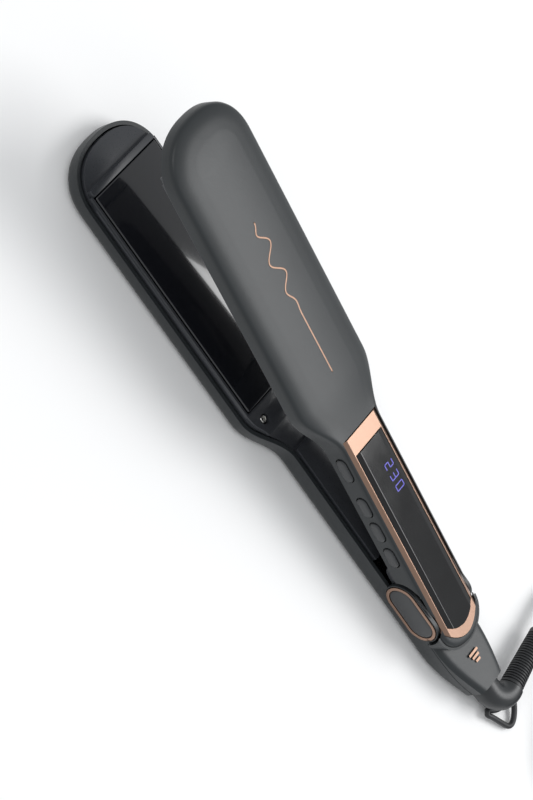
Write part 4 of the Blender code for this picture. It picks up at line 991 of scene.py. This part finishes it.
# Points between the sleeve and the coil, and from the coil up into the plug as seen from the coil (mm)
FREE_ROUTE = ((-150.0, -66.0, 4.6), (-154.0, -78.0, 2.9), (-167.0, -84.8, 2.85), (-188.0, -85.6, 2.85),
              (-208.0, -85.2, 2.85))
PLUG_ROUTE = ((22.5, 13.0, 18.0), (29.5, 6.0, 21.2), (35.0, -2.0, 22.4), (37.3, -10.0, 23.2),
              (36.6, -18.0, 23.9), (32.8, -24.0, 24.15), (27.2, -26.0, 24.15))
PLUG = (36.0 * MM, 25.0 * MM, 13.7 * MM)
PRONG_RADIUS = 2.0 * MM
PRONG_SPACING = 18.6 * MM
PRONG_STRAIGHT = 17.4 * MM
PRONG_NOSE = 1.6 * MM
TIE_HALF = 3.5 * MM
TIE_THICKNESS = 1.2 * MM
PLUG_AT = COIL + Vector((9.5 * MM, 4 * MM - (COIL_INNER + COIL_OUTER) / 2, COIL_HEIGHT + GAP + PLUG[2] / 2))


def cord_points():
    """The stretch to the coil, three layers of three turns, and the rise into the plug."""
    start, heading = sleeve_start()
    leave = start + heading * (SLEEVE_LENGTH + GAP)
    side = COIL + Vector((0, -(COIL_OUTER + CORD / 2 + GAP), CORD_LIFT))
    free = [Vector(point) * MM for point in FREE_ROUTE]
    made = smooth_line([leave, leave + heading * 12 * MM, *free, side], 12)
    # Wound clockwise from the -Y side: outwards in on the first layer, then in to out, then in again.
    order = [(radius, layer) for layer, rings in enumerate((COIL_RINGS, COIL_RINGS[::-1], COIL_RINGS))
             for radius in rings]
    steps, first = 40, 6
    for k in range(first, round(COIL_TURNS * steps) + 1):
        turn = k / steps
        now, after = order[int(turn)], order[min(int(turn) + 1, len(order) - 1)]
        part = ease(turn - int(turn), 0.72, 1.0)
        radius = mix(now[0], after[0], part)
        z = mix(now[1], after[1], part) * CORD + CORD_LIFT
        angle = -math.pi / 2 - 2 * math.pi * turn
        made.append(COIL + Vector((radius * math.cos(angle), radius * math.sin(angle), z)))
    rise = [made[-1]] + [COIL + Vector(point) * MM for point in PLUG_ROUTE]
    return made + smooth_line(rise, 8)[1:]


def make_cord():
    """The lead at its real length, with the plug and the tie that ride on it."""
    points = cord_points()
    cord = wire("mains_cord", points, CORD / 2, resolution=5)
    body = plug_overmould()
    pins = plug_prongs()
    tie = cord_tie()
    dress(cord, "swivel", "cord", ["cord", "cord_coil"])


def plug_overmould():
    """Flat plug body: a block that narrows to a ribbed tail, with four grip grooves on each side."""
    length, width, thick = PLUG
    body = block("plug_overmould", PLUG_AT - Vector((length / 2, width / 2, thick / 2)),
                 PLUG_AT + Vector((2 * MM, width / 2, thick / 2)))
    bm = opened(body.data)
    face = max(bm.faces, key=lambda f: f.calc_center_median().x)
    for run, share_y, share_z in ((5 * MM, 0.86, 0.98), (5 * MM, 0.72, 0.92), (1 * MM, 0.75, 0.9)):
        grown = bmesh.ops.extrude_discrete_faces(bm, faces=[face])["faces"]
        face = grown[0]
        centre = face.calc_center_median()
        bmesh.ops.translate(bm, vec=(run, 0, 0), verts=face.verts)
        bmesh.ops.scale(bm, vec=(1, share_y, share_z), verts=face.verts, space=Matrix.Translation(-centre))
    edges = [edge for edge in bm.edges if edge.calc_length() > 0.5 * MM]
    bmesh.ops.bevel(bm, geom=edges, offset=2.2 * MM, segments=4, affect="EDGES", profile=0.5, material=-1,
                    clamp_overlap=True)
    closed(bm, body.data)
    tail_x = PLUG_AT.x + 12 * MM
    profile = [(0.0, 0.0), (5.2 * MM, 0.0)]
    for rib in range(3):
        low = 0.6 * MM + rib * 1.6 * MM
        radius = 5.0 * MM - rib * 0.35 * MM
        profile += [(radius - 0.7 * MM, low), (radius - 0.7 * MM, low + 0.5 * MM), (radius, low + 0.8 * MM),
                    (radius, low + 1.4 * MM)]
    profile += [(3.4 * MM, 5.8 * MM), (0.0, 5.8 * MM)]
    tail = turned("tail", profile, (tail_x, PLUG_AT.y, PLUG_AT.z), (1, 0, 0), 40)
    body = cut(body, tail, "UNION")
    body.name = "plug_overmould"
    for side in (1, -1):
        for k in range(4):
            x = PLUG_AT.x - 9 * MM + k * 2.4 * MM
            y = PLUG_AT.y + side * (width / 2 + 0.2 * MM)
            body = cut(body, block("groove", (x, y - 0.6 * MM, PLUG_AT.z - 4.5 * MM),
                                   (x + 1.1 * MM, y + 0.6 * MM, PLUG_AT.z + 4.5 * MM)))
    body.name = "plug_overmould"
    return dress(soften(body, 0.15 * MM, 30), "swivel", "plug", ["plug_body"])


def plug_prongs():
    """Two round metal pins with rounded ends."""
    made = []
    face = PLUG_AT.x - PLUG[0] / 2
    for name, side in (("left", 1), ("right", -1)):
        y = PLUG_AT.y + side * PRONG_SPACING / 2
        profile = [(0.0, GAP), (PRONG_RADIUS, GAP), (PRONG_RADIUS, PRONG_STRAIGHT)]
        for k in range(1, 9):
            angle = math.pi / 2 * k / 8
            profile.append((PRONG_RADIUS * math.cos(angle), PRONG_STRAIGHT + PRONG_NOSE * math.sin(angle)))
        pin = turned(f"plug_prong_{name}", profile, (face, y, PLUG_AT.z), (-1, 0, 0), 40)
        pin.data.shade_smooth()
        made.append(dress(soften(pin, 0.1 * MM, 60), "swivel", "nickel", [f"plug_pin_{name}"]))
    return made


def cord_tie():
    """A flat rubber band round one side of the coil."""
    low = COIL.x + COIL_INNER - 0.9 * MM
    high = COIL.x + COIL_OUTER + GAP
    band = block("tie_band", (low - TIE_THICKNESS, COIL.y - TIE_HALF, 0.0),
                 (high + TIE_THICKNESS, COIL.y + TIE_HALF, COIL_HEIGHT + GAP + TIE_THICKNESS))
    bm = opened(band.data)
    ends = [e for e in bm.edges if abs(e.verts[0].co.y - e.verts[1].co.y) > MM and e.calc_length() > MM
            and max(v.co.z for v in e.verts) > MM]
    bmesh.ops.bevel(bm, geom=ends, offset=2.5 * MM, segments=6, affect="EDGES", profile=0.5, material=-1)
    closed(bm, band.data)
    hole = block("inside", (low, COIL.y - 5 * MM, -MM), (high, COIL.y + 5 * MM, COIL_HEIGHT + GAP))
    band = cut(band, hole)
    band.name = "tie_band"
    return dress(soften(band, 0.2 * MM, 30), "swivel", "rubber", ["cord_tie"])


# ---- floor, light and camera

CAMERA_PLACE = (0.41276, 0.71365, 0.96106)
CAMERA_TURN = (10.247, -39.316, -135.262)  # degrees about X, Y and Z
CAMERA_LENS = 137.1  # mm, on a sensor 36 mm tall
KEY_PLACE, KEY_SIZE, KEY_POWER = (-0.75, -0.75, 1.25), (1.0, 0.8), 15.0
FRONT_PLACE, FRONT_SIZE, FRONT_POWER = (0.9, 0.7, 1.5), (0.9, 0.9), 5.0
WORLD_STRENGTH = 0.66


def make_stage():
    """A pale paper floor just under the iron."""
    bm = bmesh.new()
    bmesh.ops.create_grid(bm, x_segments=1, y_segments=1, size=3.0)
    floor = from_bmesh("floor", bm)
    for vert in floor.data.vertices:
        vert.co.z = -0.2 * MM
    floor.data.materials.append(new_material("matt paper sweep", "FCFCFC", 0.9)[0])


def area_light(name, place, size, power):
    """A white softbox aimed at the middle of the iron."""
    lamp = bpy.data.lights.new(name, "AREA")
    lamp.shape = "RECTANGLE"
    lamp.size, lamp.size_y = size
    lamp.energy = power
    made = new_piece(name, lamp)
    made.location = place
    made.rotation_euler = (-Vector(place)).to_track_quat("-Z", "Y").to_euler()


def make_lights():
    world = bpy.data.worlds.new("studio")
    world.use_nodes = True
    background = world.node_tree.nodes["Background"]
    background.inputs["Color"].default_value = hexcolour("F2F4F6")
    background.inputs["Strength"].default_value = WORLD_STRENGTH
    bpy.context.scene.world = world
    area_light("key softbox", KEY_PLACE, KEY_SIZE, KEY_POWER)
    area_light("front softbox", FRONT_PLACE, FRONT_SIZE, FRONT_POWER)


def make_camera():
    data = bpy.data.cameras.new("camera")
    data.sensor_width = 36.0
    data.lens = CAMERA_LENS
    data.clip_start = 0.05
    camera = new_piece("camera", data)
    camera.location = CAMERA_PLACE
    camera.rotation_euler = Euler([math.radians(degrees) for degrees in CAMERA_TURN], "XYZ")
    bpy.context.scene.camera = camera


for make in (make_covers_and_plates, make_cheek_trim, make_hinge_metal, make_hinge_floor, make_ornament,
             make_screws, make_display, make_digits, make_buttons, dress_inner_nodes, make_swivel,
             make_sleeve, make_loop, make_cord, make_stage, make_lights, make_camera):
    make()
bpy.context.scene.view_settings.view_transform = "Standard"
